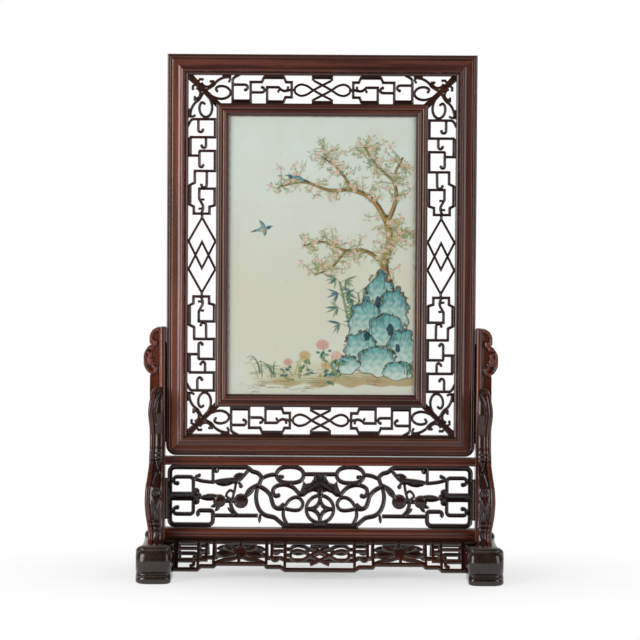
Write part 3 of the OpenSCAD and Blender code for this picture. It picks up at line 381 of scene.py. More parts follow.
def carve(node, body, wood, crown, hollow, face=(0, -1, 0), relief=None, swell=0.0):
    """A sawn board whose bars have a bead of radius crown along both edges and are hollowed between the
    beads, all in mm, on both faces. The outline is the solid's own, widened by swell; relief lifts or
    sinks the front."""
    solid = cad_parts[node].data
    solid.calc_loop_triangles()
    out = np.array(face, float) / np.linalg.norm(face)
    side = np.array((1.0, 0.0, 0.0))
    rise = np.cross(out, side)
    rise *= np.sign(rise[2])
    points = values(solid.vertices, "co").astype(float) * 1000
    depth = points @ out
    front, back = depth.max(), depth.min()
    flat = np.round(np.stack([points @ side, points @ rise], 1), 3)
    corners = values(solid.loop_triangles, "vertices", np.int32)
    corners = corners[(depth[corners] > front - 0.01).all(1)]
    spots, ids = np.unique(flat, axis=0, return_inverse=True)
    follow = dict(open_pairs(ids.reshape(-1)[corners]))
    fall = 0.9
    steps = (0.25 * crown, 0.6 * crown, crown, crown + fall / 2, crown + fall)
    plan, tiles, inset, walls = fill(spots, follow, steps, pitch=2.2, swell=swell)
    sunk = np.clip((inset - crown) / fall, 0, 1) ** 2
    bead = np.minimum(inset, crown)
    drop = crown - np.sqrt(np.maximum(crown ** 2 - (crown - bead) ** 2, 0)) + hollow * sunk
    lift = relief(plan[:, 0], plan[:, 1]) if relief else np.zeros(len(plan))
    count = len(plan)
    flat_place = plan[:, :1] * side + plan[:, 1:] * rise
    top = flat_place + ((front - drop) + lift)[:, None] * out
    under = flat_place + (back + drop)[:, None] * out
    faces = tiles.tolist() + (tiles[:, ::-1] + count).tolist()
    faces += [(q, p, count + p, count + q) for p, q in walls]
    # colour over the carving: lighter on the beads and raised relief for wear, darker down the hollow as
    # painted shade
    height = np.clip(0.4 + 0.6 * bead / crown - 0.75 * sunk * min(1, 2 * hollow) + 0.3 * lift, 0, 1)
    joined(node, node + "_carved", body, wood, np.concatenate([top, under]), faces, 180,
           np.tile(height, 2))


level_pieces = ("fret_top", "fret_bottom", "corner_top_left", "corner_top_right", "corner_bottom_left",
                "corner_bottom_right")
for along, nodes in (("X", level_pieces), ("Z", ("fret_left", "fret_right"))):
    fret_wood = rosewood("filed rosewood fretwork, " + along, along, "#0b0605", "#331d17", "#4a281d", 0.22,
                         "crest")
    for node in nodes:
        crown, hollow = (1.7, 0) if "corner" in node else (0.8, 0.5)
        carve(node, "screen_panel", fret_wood, crown, hollow)


# Porcelain plaque
# A slab of white porcelain, pressed flat, glazed and fired, then painted over the glaze with enamels and
# fired again. It stands in the groove of the inner frame. The painting is a plum tree and a garden rock
# of the common kind, drawn in mm from the middle of the slab.

low, high = box_mm("plaque")
middle_z = (low[2] + high[2]) / 2
pitch = 0.8
xs = np.linspace(low[0], high[0], int((high[0] - low[0]) / pitch) + 1)
zs = np.linspace(low[2], high[2], int((high[2] - low[2]) / pitch) + 1) - middle_z
enamel = np.zeros((len(zs), len(xs), 4))
hand = np.random.default_rng(11)
soft_edge = 0.7


def lay(box, colour, strength, share_at):
    """Lays one enamel over the slab inside a box (left, low, right, top), as thickly as share_at says."""
    i, k = np.searchsorted(zs, (box[1], box[3]))
    j, m = np.searchsorted(xs, (box[0], box[2]))
    if i == k or j == m:
        return
    u, v = np.meshgrid(xs[j:m], zs[i:k])
    share = (np.clip(share_at(u, v), 0, 1) * strength)[..., None]
    spot = enamel[i:k, j:m]
    total = share + spot[..., 3:] * (1 - share)
    mixed = np.array(linear(colour)[:3]) * share + spot[..., :3] * spot[..., 3:] * (1 - share)
    spot[..., :3] = mixed / np.maximum(total, 1e-6)
    spot[..., 3:] = total


def stroke(path, thick, thin, colour, strength):
    """One brush stroke along a path, thick at its start and thin at its end, in mm."""
    path = np.array(path, float)
    wide = np.linspace(thick, thin, len(path)) / 2

    def share_at(u, v):
        best = np.full(u.shape, -9.0)
        for p, q, w, z in zip(path[:-1], path[1:], wide[:-1], wide[1:]):
            run = q - p
            t = np.clip(((u - p[0]) * run[0] + (v - p[1]) * run[1]) / max(run @ run, 1e-9), 0, 1)
            gap = np.hypot(u - p[0] - t * run[0], v - p[1] - t * run[1])
            best = np.maximum(best, w + (z - w) * t - gap)
        return best / soft_edge + 0.5

    margin = thick / 2 + thin / 2 + 1
    lay((*(path.min(0) - margin), *(path.max(0) + margin)), colour, strength, share_at)


def blade(root, tip, wide, colour, strength):
    """A leaf or petal laid with one press of the brush, from root to tip."""
    root, tip = np.array(root, float), np.array(tip, float)
    run = tip - root
    size = np.hypot(*run)

    def share_at(u, v):
        t = ((u - root[0]) * run[0] + (v - root[1]) * run[1]) / size ** 2
        off = np.abs((u - root[0]) * run[1] - (v - root[1]) * run[0]) / size
        body = wide / 2 * np.sin(np.pi * np.clip(t, 0, 1) ** 0.8)
        return np.where((t > 0) & (t < 1), (body - off) / soft_edge + 0.4, 0)

    ends = np.array([root, tip])
    lay((*(ends.min(0) - wide), *(ends.max(0) + wide)), colour, strength, share_at)


def ripple(u, v, size):
    """Uneven edge of a wash, from -1 to 1, with bays of about that size in mm."""
    k = 2 * math.pi / size
    across = np.sin(k * u + 1.7 * np.sin(0.6 * k * v))
    return (across + np.sin(1.3 * k * v + 1.1 * np.sin(0.8 * k * u + 2))) / 2


def bend(path):
    """A path with its corners cut twice, as a brush rounds them."""
    path = np.array(path, float)
    for _ in range(2):
        cuts = np.stack([path[:-1] * 0.75 + path[1:] * 0.25, path[:-1] * 0.25 + path[1:] * 0.75], 1)
        path = np.concatenate([path[:1], cuts.reshape(-1, 2), path[-1:]])
    return path


def toward(lie, flat=1.0):
    """One step at an angle, flattened by a share."""
    return np.array((math.cos(lie), flat * math.sin(lie)))


# bank of earth along the foot of the picture, ochre under lines of short grass
for colour, top, strength in (("#b9b086", -132, 0.40), ("#a0a078", -144, 0.36), ("#9a7a40", -153, 0.5)):
    lay((-114, -180, 121, top + 18), colour, strength,
        lambda u, v: (top - v + 7 * ripple(u, v, 61) + 0.1 * (u - 20)) / 8
        * np.clip((v + 170 + 4 * ripple(u, v, 37)) / 7, 0, 1)
        * np.clip((u + 100 + 12 * ripple(u, v, 23)) / 40, 0, 1))
for _ in range(190):
    x = hand.uniform(-92, 116)
    z = -146 + 0.08 * (x - 20) + 4 * math.sin(x / 13) + hand.uniform(-24, 6)
    reach = hand.uniform(2.5, 8)
    stroke([(x - reach, z), (x, z + 0.7), (x + reach, z - 0.3)], 0.9, 0.7,
           hand.choice(["#6b5326", "#7d7b45", "#4f6a5a", "#8a6a30"]), 0.55)

# old plum tree behind the rock: ochre bark between ink edges, then twigs, new leaf and pale blossom
limbs = [([(98, -120), (84, -84), (93, -46), (79, -14), (91, 18), (84, 50)], 13, 8),
         ([(85, 44), (67, 76), (36, 88), (10, 83), (-22, 98), (-54, 90)], 7, 1.5),
         ([(85, 42), (99, 76), (92, 104), (105, 128)], 6, 1.4),
         ([(82, -10), (56, 10), (30, 5), (4, 21), (-24, 13)], 5, 1.2),
         ([(38, 88), (24, 112), (0, 129)], 3.4, 1.0), ([(93, 98), (70, 118), (54, 143)], 3.2, 1.0),
         ([(30, 5), (14, -16), (-8, -25)], 3.0, 0.9), ([(92, 20), (108, 34), (118, 30)], 3.4, 1.0)]
sprays, fifth_turn = [], 1.257
for path, thick, thin in limbs:
    path = bend(path)
    stroke(path, thick + 1.2, thin + 0.5, "#3d2c1d", 0.9)
    stroke(path - (0.12 * thick, 0), thick * 0.72, thin * 0.7, "#ad8a55", 0.85)
    stroke(path + (0.22 * thick, 0), thick * 0.34, thin * 0.5, "#694a28", 0.6)
    for _ in range(int(14 + 2 * thick)):
        spot = path[hand.integers(len(path) // 4, len(path))]
        lie = hand.uniform(0, 2 * math.pi)
        tip = spot + hand.uniform(10, 25) * np.array((math.cos(lie), 0.75 * math.sin(lie) + 0.2))
        stroke(bend([spot, (spot + tip) / 2 + hand.uniform(-3, 3, 2), tip]), 1.2, 0.7, "#5a432a", 0.8)
        sprays += [tip, (spot + tip) / 2]
for spot in sprays:
    for _ in range(7):
        lie = hand.uniform(0, 2 * math.pi)
        root = spot + hand.uniform(-4, 4, 2)
        blade(root, root + hand.uniform(3.5, 7.5) * toward(lie), 1.9,
              hand.choice(["#7f8a55", "#98985f", "#62805e", "#aaa777"]), hand.uniform(0.35, 0.75))
    if hand.uniform() < 0.42:
        for k in range(5):
            way = toward(fifth_turn * k)
            blade(spot + way * 0.4, spot + way * 3.1, 2.2, hand.choice(["#d6b0a1", "#dcc3b3"]), 0.85)
        stroke([spot, spot + (0.3, 0.3)], 1.3, 1.1, "#a0665a", 0.8)

# two canes of bamboo beside the rock
for root, tip, wide in (((46, -130), (24, -34), 3.4), ((58, -120), (48, -48), 2.8)):
    root, tip = np.array(root, float), np.array(tip, float)
    for k in range(5):
        p, q = root + (tip - root) * (k / 5 + 0.01), root + (tip - root) * ((k + 1) / 5 - 0.01)
        stroke([p, q], wide, wide * 0.9, "#50715a", 0.9)
        stroke([p - (0.5, 0), q - (0.5, 0)], wide * 0.45, wide * 0.4, "#a3aa7c", 0.7)
        for turn in (-1, 1) if k > 0 else ():
            arm = q + (turn * hand.uniform(5, 13), hand.uniform(2, 8))
            stroke([q, arm], 1.0, 0.8, "#50684f", 0.8)
            for n in range(5):
                lie = math.radians(-90 + turn * (10 + 26 * n) + hand.uniform(-12, 12))
                blade(arm, arm + hand.uniform(10, 18) * toward(lie), 3.0,
                      hand.choice(["#2f5a5c", "#3f6c5c", "#5d7a55", "#2f566a"]), hand.uniform(0.65, 0.95))


def rock(x, z, wide, tall):
    """One mass of a rock: pale foot, blue shoulder, ink edge, fibre strokes down its face, moss dots."""
    around = (x - 1.4 * wide, z - 1.4 * tall, x + 1.4 * wide, z + 1.4 * tall)

    def body(u, v):
        bays = ripple(u + 3 * x, v + z, 0.8 * wide + 6)
        return 1 - ((u - x) / wide) ** 2 - ((v - z) / tall) ** 2 + 0.3 * bays

    lay(around, "#bccdc0", 0.98, lambda u, v: body(u, v) * 9)
    lay(around, "#5c9b99", 0.9,
        lambda u, v: np.clip(body(u, v) * 9, 0, 1) * (0.45 + 0.7 * (v - z) / tall + 0.3 * ripple(u, v, 11)))
    lay(around, "#235f6b", 0.85,
        lambda u, v: np.clip(body(u, v) * 9, 0, 1) * (1 - 2.6 * body(u, v))
        * np.clip(0.55 + (v - z) / tall, 0, 1))
    lay(around, "#1d2f36", 0.9, lambda u, v: 1.1 - np.abs(body(u, v)) * wide / 2)
    for _ in range(int(0.6 * wide)):
        lie = hand.uniform(0.25, 2.9)
        way = np.array((wide * math.cos(lie), tall * math.sin(lie)))
        top = np.array((x, z)) + 0.93 * way
        slant = hand.uniform(-2, 2) - 0.06 * way[0]
        foot = top + (2 * slant, -hand.uniform(0.25, 0.55) * tall)
        stroke(bend([top, top + (0.3 * slant, -0.25 * tall), foot]), 0.9, 0.7,
               hand.choice(["#1f3d49", "#2f5a68", "#4b4a30"]), 0.55)
    for _ in range(int(1.5 * wide)):
        lie = hand.uniform(0.1, 3.0)
        spot = np.array((x + wide * math.cos(lie), z + tall * math.sin(lie))) + hand.uniform(-1.5, 1.5, 2)
        stroke([spot, spot + (0.3, 0.9)], 2.0, 1.4, hand.choice(["#24301f", "#3c3a20", "#5d4a22"]), 0.8)


for mass in ((76, -56, 19, 34), (94, -78, 20, 36), (59, -90, 22, 33), (86, -110, 28, 34), (52, -124, 22, 26),
             (106, -124, 19, 28), (74, -138, 26, 20), (34, -142, 17, 12), (101, -150, 19, 12)):
    rock(*mass)
for x, z, wide, tall in ((74, -60, 4, 8), (90, -96, 5, 8), (60, -104, 4.5, 7), (100, -120, 3.5, 6)):
    lay((x - 9, z - 14, x + 9, z + 14), "#1d343d", 0.9,
        lambda u, v: (1 - ((u - x) / wide) ** 2 - ((v - z) / tall) ** 2 + 0.3 * ripple(u, v, 9)) * 3)

# chrysanthemums in front, with their stems and lobed leaves
for x, z, wide, petal, heart in ((2, -116, 9.5, "#cfa99a", "#a87d6c"), (-21, -130, 8.5, "#c9b184", "#9a8050"),
                                 (20, -130, 8, "#d5bcae", "#ae8574"), (-43, -139, 7, "#cfa99a", "#a87d6c"),
                                 (6, -143, 6.5, "#c9b184", "#9a8050")):
    stroke(bend([(x, z), (x + 2, z - 12), (x + 6, -156)]), 1.3, 1.0, "#53704f", 0.9)
    for _ in range(11):
        lie = hand.uniform(0, 2 * math.pi)
        root = np.array((x + hand.uniform(-7, 9), z - hand.uniform(6, 24)))
        blade(root, root + hand.uniform(5, 10) * toward(lie, 0.6), 3.8,
              hand.choice(["#3f6c5c", "#5d7f56", "#2f5a5c", "#84884f"]), 0.85)
    for ring, count in ((1.0, 19), (0.72, 14), (0.44, 9)):
        for k in range(count):
            lie = 2 * math.pi * (k + 0.4 * ring) / count
            reach = wide * ring * toward(lie, 0.8)
            spot = np.array((x, z), float)
            blade(spot + reach * 0.28, spot + reach, wide * 0.28, heart, 0.75)
            blade(spot + reach * 0.34, spot + reach * 0.95, wide * 0.18, petal, 0.9)

# grass and orchid blades on the bank; the curve of a blade is in shares of its lean and height
curve = np.array([(0, 0), (0.2, 0.6), (0.6, 0.95), (1, 0.8)])
for x, lean, count in ((-62, -1, 9), (-78, -1, 6), (-30, 1, 6), (112, 1, 6), (18, 1, 8)):
    for _ in range(count):
        tall = hand.uniform(10, 25)
        out = lean * hand.uniform(-6, 20)
        root = np.array((x + hand.uniform(-4, 4), -156 + hand.uniform(-4, 4)))
        stroke(bend(root + curve * (out, tall)), 1.3, 0.7,
               hand.choice(["#4d7355", "#3b6660", "#879052"]), 0.85)

# a bird on the bough and one on the wing
for x, z, size, flip, wings in ((-33, 100, 12, -1, [(-0.75, 0.02)]),
                                (-76, 34, 11, 1, [(-0.5, 1.15), (0.15, -0.85)])):
    spot, way = np.array((x, z), float), size * np.array((flip, 1.0))
    blade(spot - way * (0.3, 0), spot - way * (1.6, 0.35), size * 0.26, "#27424f", 0.9)
    blade(spot - way * (0.8, 0.15), spot + way * (0.8, 0.25), size * 0.66, "#6e9aa0", 0.95)
    blade(spot - way * (0.5, 0.18), spot + way * (0.62, 0.02), size * 0.36, "#c6a470", 0.9)
    blade(spot + way * (0.38, 0.08), spot + way * (1.0, 0.44), size * 0.46, "#3b6070", 0.95)
    stroke([spot + way * (0.95, 0.34), spot + way * (1.16, 0.36)], 1.0, 0.7, "#3a2f2a", 0.9)
    for wing in wings:
        blade(spot + way * (0.25, 0.12), spot + way * wing, size * 0.44, "#2f5866", 0.92)
        blade(spot + way * (0.2, 0.1), spot + way * wing * 0.8, size * 0.2, "#8fb0ac", 0.8)

# an ochre band laid along the frame's inner edge, fading out within about 2 mm inside the sight edge
sight_x, sight_z = 121, 181.9
lay((low[0] - 1, -190, high[0] + 1, 190), "#a58a4c", 0.55,
    lambda u, v: 1 - (np.minimum(sight_x - np.abs(u), sight_z - np.abs(v))
                      - 1.1 * ripple(u, v, 19) + 0.3) / 2)

# Glazed porcelain: white body under a thin clear glaze, greenish where the glaze lies thick at the top and
# creamy below; gives the eye a cool white with a tight sharp gloss. Enamels are glassy too, a shade duller.
porcelain, tree, shader = new_material("glazed porcelain with enamels")
place = add(tree, "TexCoord").outputs["Object"]
level = add(tree, "SeparateXYZ", {0: place}).outputs["Z"]
glaze = coated(tree, linear("#cbccba"), [(level, 0.33, 0.56, 0, 1, "#cfd8d0"),
                                        (level, 0.36, 0.25, 0, 1, "#cccfc0")], "SMOOTHSTEP")
# glaze clouds 45 mm wide, iron specks 0.5 mm wide drawn 1.2 mm wide and 16 mm apart
cloud = add(tree, "TexNoise", {"Vector": place, "Scale": 1000 / 45, "Detail": 3.0})
speck = add(tree, "TexVoronoi", {"Vector": place, "Scale": 1000 / 16}, feature="F1")
glaze = coated(tree, glaze, [(cloud.outputs["Fac"], 0.35, 0.7, 0, 0.35, "#c9c6ae"),
                             (speck.outputs["Distance"], 0.03, 0.055, 0.4, 0, "#6d6048")])
paint = add(tree, "Attribute", attribute_name="enamel")
skin = add(tree, "Mix", {0: paint.outputs["Alpha"], 6: glaze, 7: paint.outputs["Color"]}, data_type="RGBA")
tree.links.new(skin.outputs[2], shader.inputs["Base Color"])
gloss = add(tree, "MapRange", {"Value": paint.outputs["Alpha"], "To Min": 0.10, "To Max": 0.24})
tree.links.new(gloss.outputs[0], shader.inputs["Roughness"])
shader.inputs["IOR"].default_value = 1.5

# the slab itself: front grid with the enamel a little proud, plain edges and back
rows, columns = enamel.shape[:2]
u, v = np.meshgrid(xs, zs)
swell = 0.10 * ripple(u, v, 140) + 0.10 * enamel[..., 3]
front = np.stack([u, low[1] + 0.22 - swell, v + middle_z], -1).reshape(-1, 3)
number = np.arange(rows * columns).reshape(rows, columns)
faces = np.stack([number[:-1, :-1], number[:-1, 1:], number[1:, 1:], number[1:, :-1]], -1)
faces = faces.reshape(-1, 4).tolist()
ring = np.concatenate([number[0], number[1:, -1], number[-1, -2::-1], number[-2:0:-1, 0]])
back = front[ring] * (1, 0, 1) + (0, high[1], 0)
behind = np.arange(len(ring)) + rows * columns
for p, q, r, t in zip(ring, np.roll(ring, -1), np.roll(behind, -1), behind):
    faces.append((q, p, t, r))
faces.append(behind[::-1].tolist())
slab = joined("plaque", "painted_plaque", "screen_panel", porcelain,
              np.concatenate([front, back]), faces, 50)
coat = slab.color_attributes.new("enamel", "FLOAT_COLOR", "POINT")
painted = np.concatenate([enamel.reshape(-1, 4), np.zeros((len(ring), 4))])
coat.data.foreach_set("color", painted.astype(np.float32).ravel())


# Back board
# A thin board that closes the back of the inner frame and stands in the same groove as the plaque.
# Planed, its arrises taken off, oiled once and left plain.

board_wood = rosewood("planed board", "Z", "#2a1710", "#5b3826", "#6b4630", 0.55)
low, high = box_mm("back_board")
arris = [(0.6, 0), (0.18, 0.18), (0, 0.6)]
points = []
for inset, depth in arris + [(inset, high[1] - low[1] - depth) for inset, depth in arris[::-1]]:
    points += [(x, low[1] + depth, z) for x, z in (
        (low[0] + inset, low[2] + inset), (high[0] - inset, low[2] + inset),
        (high[0] - inset, high[2] - inset), (low[0] + inset, high[2] - inset))]
joined("back_board", "back_board_planed", "screen_panel", board_wood, points,
       tube(2 * len(arris), 4), 30)


# Feet
# Two drum feet of solid rosewood that carry everything, each carved from one block: a rolled top, a
# swelling drum, a neck and a toe at both ends, with a volute cut into the sides. Rubbed with wax until
# almost black.


def groove(spots, path, deep, wide):
    """A gouge cut along a path, as a depth below zero at each spot."""
    path = np.array(path, float)
    return -deep * np.exp(-(nearest(spots, path[:-1], path[1:]) / wide) ** 2)


def volute(centre, big, small, turns, start, way=1):
    """Points of a spiral from its mouth to its eye."""
    t = np.linspace(0, 1, 40)
    r = big + (small - big) * t ** 0.8
    angle = np.radians(start) + way * 2 * np.pi * turns * t
    return np.stack([centre[0] + r * np.cos(angle), centre[1] + r * np.sin(angle)], 1)


# outline of one half from the side, as distance in from the toe and height: from the arch below to the
# toe, the neck over it, the drum, the quirk under the lip, the lip and the flat on top
foot_half, foot_top, arch = 92.0, 48.5, 6.0
foot_outline = np.concatenate([
    [(92, arch), (70, arch), (65, 5), (62.6, 3), (62, 0), (3, 0), (1.4, 1.6)],
    bend([(1.2, 6.4), (2, 9), (5.4, 10.8), (6.2, 12.6), (4, 15.6), (1, 21), (0.1, 28), (0.9, 34),
          (3, 39), (5.6, 42)]),
    [(7.8, 43.2), (7.6, 44.6)],
    bend([(6.4, 45.6), (9, 47.8), (14, foot_top), (21, 47.2), (27, 40)]),
    [(92, 40)]]) * (-1, 1) + (foot_half, 0)
foot_outline = np.concatenate([foot_outline, (foot_outline * (-1, 1))[-2:0:-1]])
foot_wood = rosewood("waxed dark rosewood, feet", "Y", "#0e0907", "#2c201c", "#382a24", 0.15, "crest")


def cushion(node):
    """A block whose ends and top roll over into its flanks, with volutes cut into the flanks."""
    middle, half = box_mm(node)[:, 0].mean(), np.ptp(box_mm(node)[:, 0]) / 2
    count = len(foot_outline)
    plan, tiles, inset, walls = fill(foot_outline, {i: (i + 1) % count for i in range(count)},
                                     (0.3, 0.8, 1.6, 2.6, 3.8, 5.2, 6.6, 8), pitch=2.2)
    # the edge on the floor stays crisp
    above = foot_outline[:, 1] > 0.5
    follow = np.roll(foot_outline, -1, 0)
    on_floor = np.where(inset < plan[:, 1], 99, 4 * plan[:, 1])
    inset = np.minimum(nearest(plan, foot_outline[above], follow[above]), on_floor)
    mirrored = np.abs(plan)
    cut = groove(mirrored, volute((72, 27), 14, 2.5, 1.7, -60), 1.3, 1.3)
    cut += groove(mirrored, [(20, 33), (40, 34), (56, 37)], 1.0, 1.2)
    cut += groove(mirrored, [(24, 20), (44, 16), (58, 14), (82, 12)], 0.9, 1.2)
    points, shares = [], []
    # the outer flank rolls further over than the one beside the apron
    for way, roll, deep in ((1, 11.0, 8.0), (-1, 7.0, 6.0)):
        over = roll * (1 - np.sqrt(np.clip(1 - (1 - np.minimum(inset, deep) / deep) ** 2, 0, 1)))
        points.append(np.column_stack([way * (half - over + cut * (inset > 3)), plan]))
        # the wood is painted darker in the gouges, as painted shade
        shares.append(np.clip(0.9 + 0.6 * cut, 0, 1))
    # stations across the block from flank to flank
    stations = 12
    place = {}
    for order, i in enumerate(sorted({i for pair in walls for i in pair})):
        inner = 2 * len(plan) + order * (stations - 1)
        place[i] = [i, *range(inner, inner + stations - 1), i + len(plan)]
        across = np.linspace(points[0][i, 0], points[1][i, 0], stations + 1)[1:-1]
        points.append(np.column_stack([across, np.tile(plan[i], (stations - 1, 1))]))
        shares.append(np.full(stations - 1, 0.9))
    points, shares = np.concatenate(points), np.concatenate(shares)
    # the ends swell between the flanks
    end_from, end_run, end_swell = 62, 26, 3.4
    ends = np.clip((np.abs(points[:, 1]) - end_from) / end_run, 0, 1)
    ends = ends * ends * (3 - 2 * ends)
    points[:, 1] -= np.sign(points[:, 1]) * ends * end_swell * (points[:, 0] / half) ** 2
    points[:, 0] = middle + points[:, 0] * np.sign(middle)
    faces = tiles.tolist() + (tiles[:, ::-1] + len(plan)).tolist()
    for p, q in walls:
        faces += [(place[q][k], place[p][k], place[p][k + 1], place[q][k + 1]) for k in range(stations)]
    joined(node, node + "_carved", "stand", foot_wood, points, faces, 60, shares)


for node in ("foot_left", "foot_right"):
    cushion(node)


# Posts
# Two standards tenoned into the feet, each with a groove on its inner side that the panel slides in.
# Their heads are carved with a cloud scroll on both faces; a fine line sets off the inner arris.


def whittle(node, wood, facet, rubs, cut):
    """A block carved in the round: the solid's skin is cut in facets of that many mm, its corners are rubbed
    down, and cut says how far each point is raised or sunk along its normal, in mm."""
    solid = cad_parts[node].data.copy()
    piece = put("block", solid)
    piece.modifiers.new("joined skin", "WELD").merge_threshold = 2e-6
    skin = piece.modifiers.new("facets", "REMESH")
    skin.mode = "VOXEL"
    skin.voxel_size = facet / 1000
    rub = piece.modifiers.new("rubbed corners", "SMOOTH")
    rub.factor = 0.5
    rub.iterations = rubs
    rough_out = bpy.data.meshes.new_from_object(piece.evaluated_get(bpy.context.evaluated_depsgraph_get()))
    points = values(rough_out.vertices, "co").astype(float) * 1000
    normals = values(rough_out.vertex_normals, "vector").astype(float)
    low, high = box_mm(node)
    shrunk, grown = points.min(0), points.max(0)
    points = low + (points - shrunk) / (grown - shrunk) * (high - low)
    lift = cut(points, normals)
    faces = [tuple(face.vertices) for face in rough_out.polygons]
    bpy.data.objects.remove(piece)
    bpy.data.meshes.remove(rough_out)
    bpy.data.meshes.remove(solid)
    # the wood is painted lighter where the carving stands up, for wear, and darker where it is sunk, as
    # painted shade
    joined(node, node + "_carved", "stand", wood, points + normals * lift[:, None], faces,
           180, np.clip(0.75 + lift * 0.6, 0, 1))


post_inner, post_top = 202.2, 323.0
head_tall, field_x, band_wide = 68, 8, 7.4
face_y, foot_z, outer_x = 11, 60, 15
fade_from, fade_run = 150, 90
# ridges of the cloud head, as distance out from the inner side and down from the top, half width and height
cloud_ridges = [
    ([(1, 1.8), (11, 1.8), (16.4, 4.6), (19.4, 11), (20, 18), (17.4, 22.6), (14, 22), (13.2, 18.8),
      (15.4, 17.4)], 1.8, 1.3),
    ([(17.6, 26.4), (22, 25.6), (26.2, 29.6), (26.9, 35), (24.4, 39), (20.4, 38), (19.4, 34.6),
      (22, 33)], 1.9, 1.4),
    ([(27, 41.4), (24, 44.6), (20, 46.6), (15.4, 46.2)], 1.6, 1.0),
    ([(19.6, 42.6), (20.2, 42.2)], 2.9, 1.8),
    ([(26.8, 46), (26, 51), (22.4, 56.4), (16.6, 58.8), (12.4, 56.4), (12, 52.6), (14.6, 51.2)], 1.9, 1.4),
]


def post_cut(points, normals):
    """Cloud scroll on the head, a rolled band along the inner side that dies away downwards, a line beside it
    and a sunk field outside it, on the front and the back; two notches in the head's outer edge. Where the
    band dies away the face also sinks, which paints it darker there: painted shadow of the bracket."""
    plan = np.stack([np.abs(points[:, 0]) - post_inner, post_top - points[:, 2]], 1)
    face = np.clip((np.abs(normals[:, 1]) - 0.55) * 4, 0, 1) * (np.abs(points[:, 1]) > face_y)
    lift = -0.5 * (plan[:, 0] > field_x)
    head = plan[:, 1] < head_tall
    ridge = np.full(head.sum(), -9.0)
    gap = np.full(head.sum(), 99.0)
    for path, half, tall in cloud_ridges:
        path = np.array(path)
        away = nearest(plan[head], path[:-1], path[1:])
        ridge = np.maximum(ridge, tall * np.sqrt(np.clip(1 - (away / half) ** 2, 0, 1)))
        gap = np.minimum(gap, away - half)
    sunk = -0.8 * np.clip(1 - np.maximum(gap, 0) / 4.5, 0, 1) * (plan[head][:, 0] > field_x + 0.2)
    lift[head] = np.where(ridge > 0, ridge, sunk - 0.4)
    above_foot = points[:, 2] > foot_z
    rolled = (plan[:, 0] < band_wide) & above_foot
    # the face sinks as the band dies away, so it is painted darker there: painted shadow of the bracket
    fade = np.clip((points[rolled, 2] - fade_from) / fade_run, 0.15, 1)
    half = band_wide / 2
    lift[rolled] = fade * (0.6 - 1.5 * ((plan[rolled, 0] - half) / half) ** 2) - 0.9 * (1 - fade)
    lift -= 0.7 * np.exp(-((plan[:, 0] - band_wide - 0.3) / 0.8) ** 2) * above_foot
    lift *= face
    outer = np.clip((np.abs(normals[:, 0]) - 0.5) * 4, 0, 1) * (plan[:, 0] > outer_x)
    for down in (41.5, 45.5):
        lift -= outer * 1.1 * np.exp(-((plan[:, 1] - down) / 1.3) ** 2)
    return lift


post_wood = rosewood("polished rosewood, posts", "Z", "#120605", "#602b1c", "#883f24", 0.2, "crest")
for node in ("post_left", "post_right"):
    whittle(node, post_wood, 1.0, 3, post_cut)


# Spandrel brackets
# Four carved boards that brace the posts on the feet, front and back, seated against both.
# Cut to a waved edge, with a smooth roll outside, a gouged band beside it, painted dark partly as painted
# shade, and scrolls on the flanks.

post_x, post_front = box_mm("foot_right")[:, 0].mean(), 14
bracket_foot, bracket_tall = 40.0, 206.0
# reach in front of the post and thickness beyond the middle on the outer side, in mm, against share of height
bracket_edge = [
    (45, 0), (44.1, 0.025), (38.7, 0.06), (36, 0.1), (38.7, 0.14), (44.1, 0.21), (45, 0.29), (40.5, 0.38),
    (30.6, 0.46), (22.5, 0.52), (18.9, 0.56), (20.7, 0.6), (16.2, 0.64), (14.4, 0.7), (16.2, 0.77),
    (19.4, 0.84), (18, 0.91), (12.2, 0.97), (5.4, 1)]
bracket_side = [
    (9.7, 0), (9, 0.07), (8.7, 0.1), (10.2, 0.15), (12.1, 0.22), (13.2, 0.3), (12.7, 0.37), (10.6, 0.45),
    (9.1, 0.52), (9.3, 0.57), (8.5, 0.61), (8.5, 0.7), (9.3, 0.76), (10.9, 0.83), (10.5, 0.88), (8.4, 0.94),
    (6.4, 1)]
# gouge lines on the band in front, as distance from the middle and height: a scroll between leaves
bracket_leaf = [
    volute((-0.5, 112), 5.6, 1.0, 1.5, 90), [(-6, 151), (-4, 141), (0, 132), (2.6, 122)],
    [(3, 152), (0, 145), (-5, 136)], [(-6, 103), (-2, 94), (2, 86), (3, 77)], [(3, 101), (-1, 92), (-5, 84)],
    [(-5, 238), (-1, 230), (2, 216), (1, 200)], [(-5, 60), (-2, 54), (3, 50)]]
# gouge lines on the flanks, as distance from the post and height: three scrolls and a stem
bracket_flank = [
    volute((22, 92), 15, 2.5, 1.6, 100, -1), volute((27, 58), 10, 2, 1.4, -40),
    volute((9, 204), 7, 1.5, 1.3, -90), [(8, 190), (6, 165), (9, 140), (16, 116), (24, 108)]]
bracket_wood = rosewood("polished rosewood, brackets", "Z", "#0c0706", "#46241a", "#6c3422", 0.2, "crest")


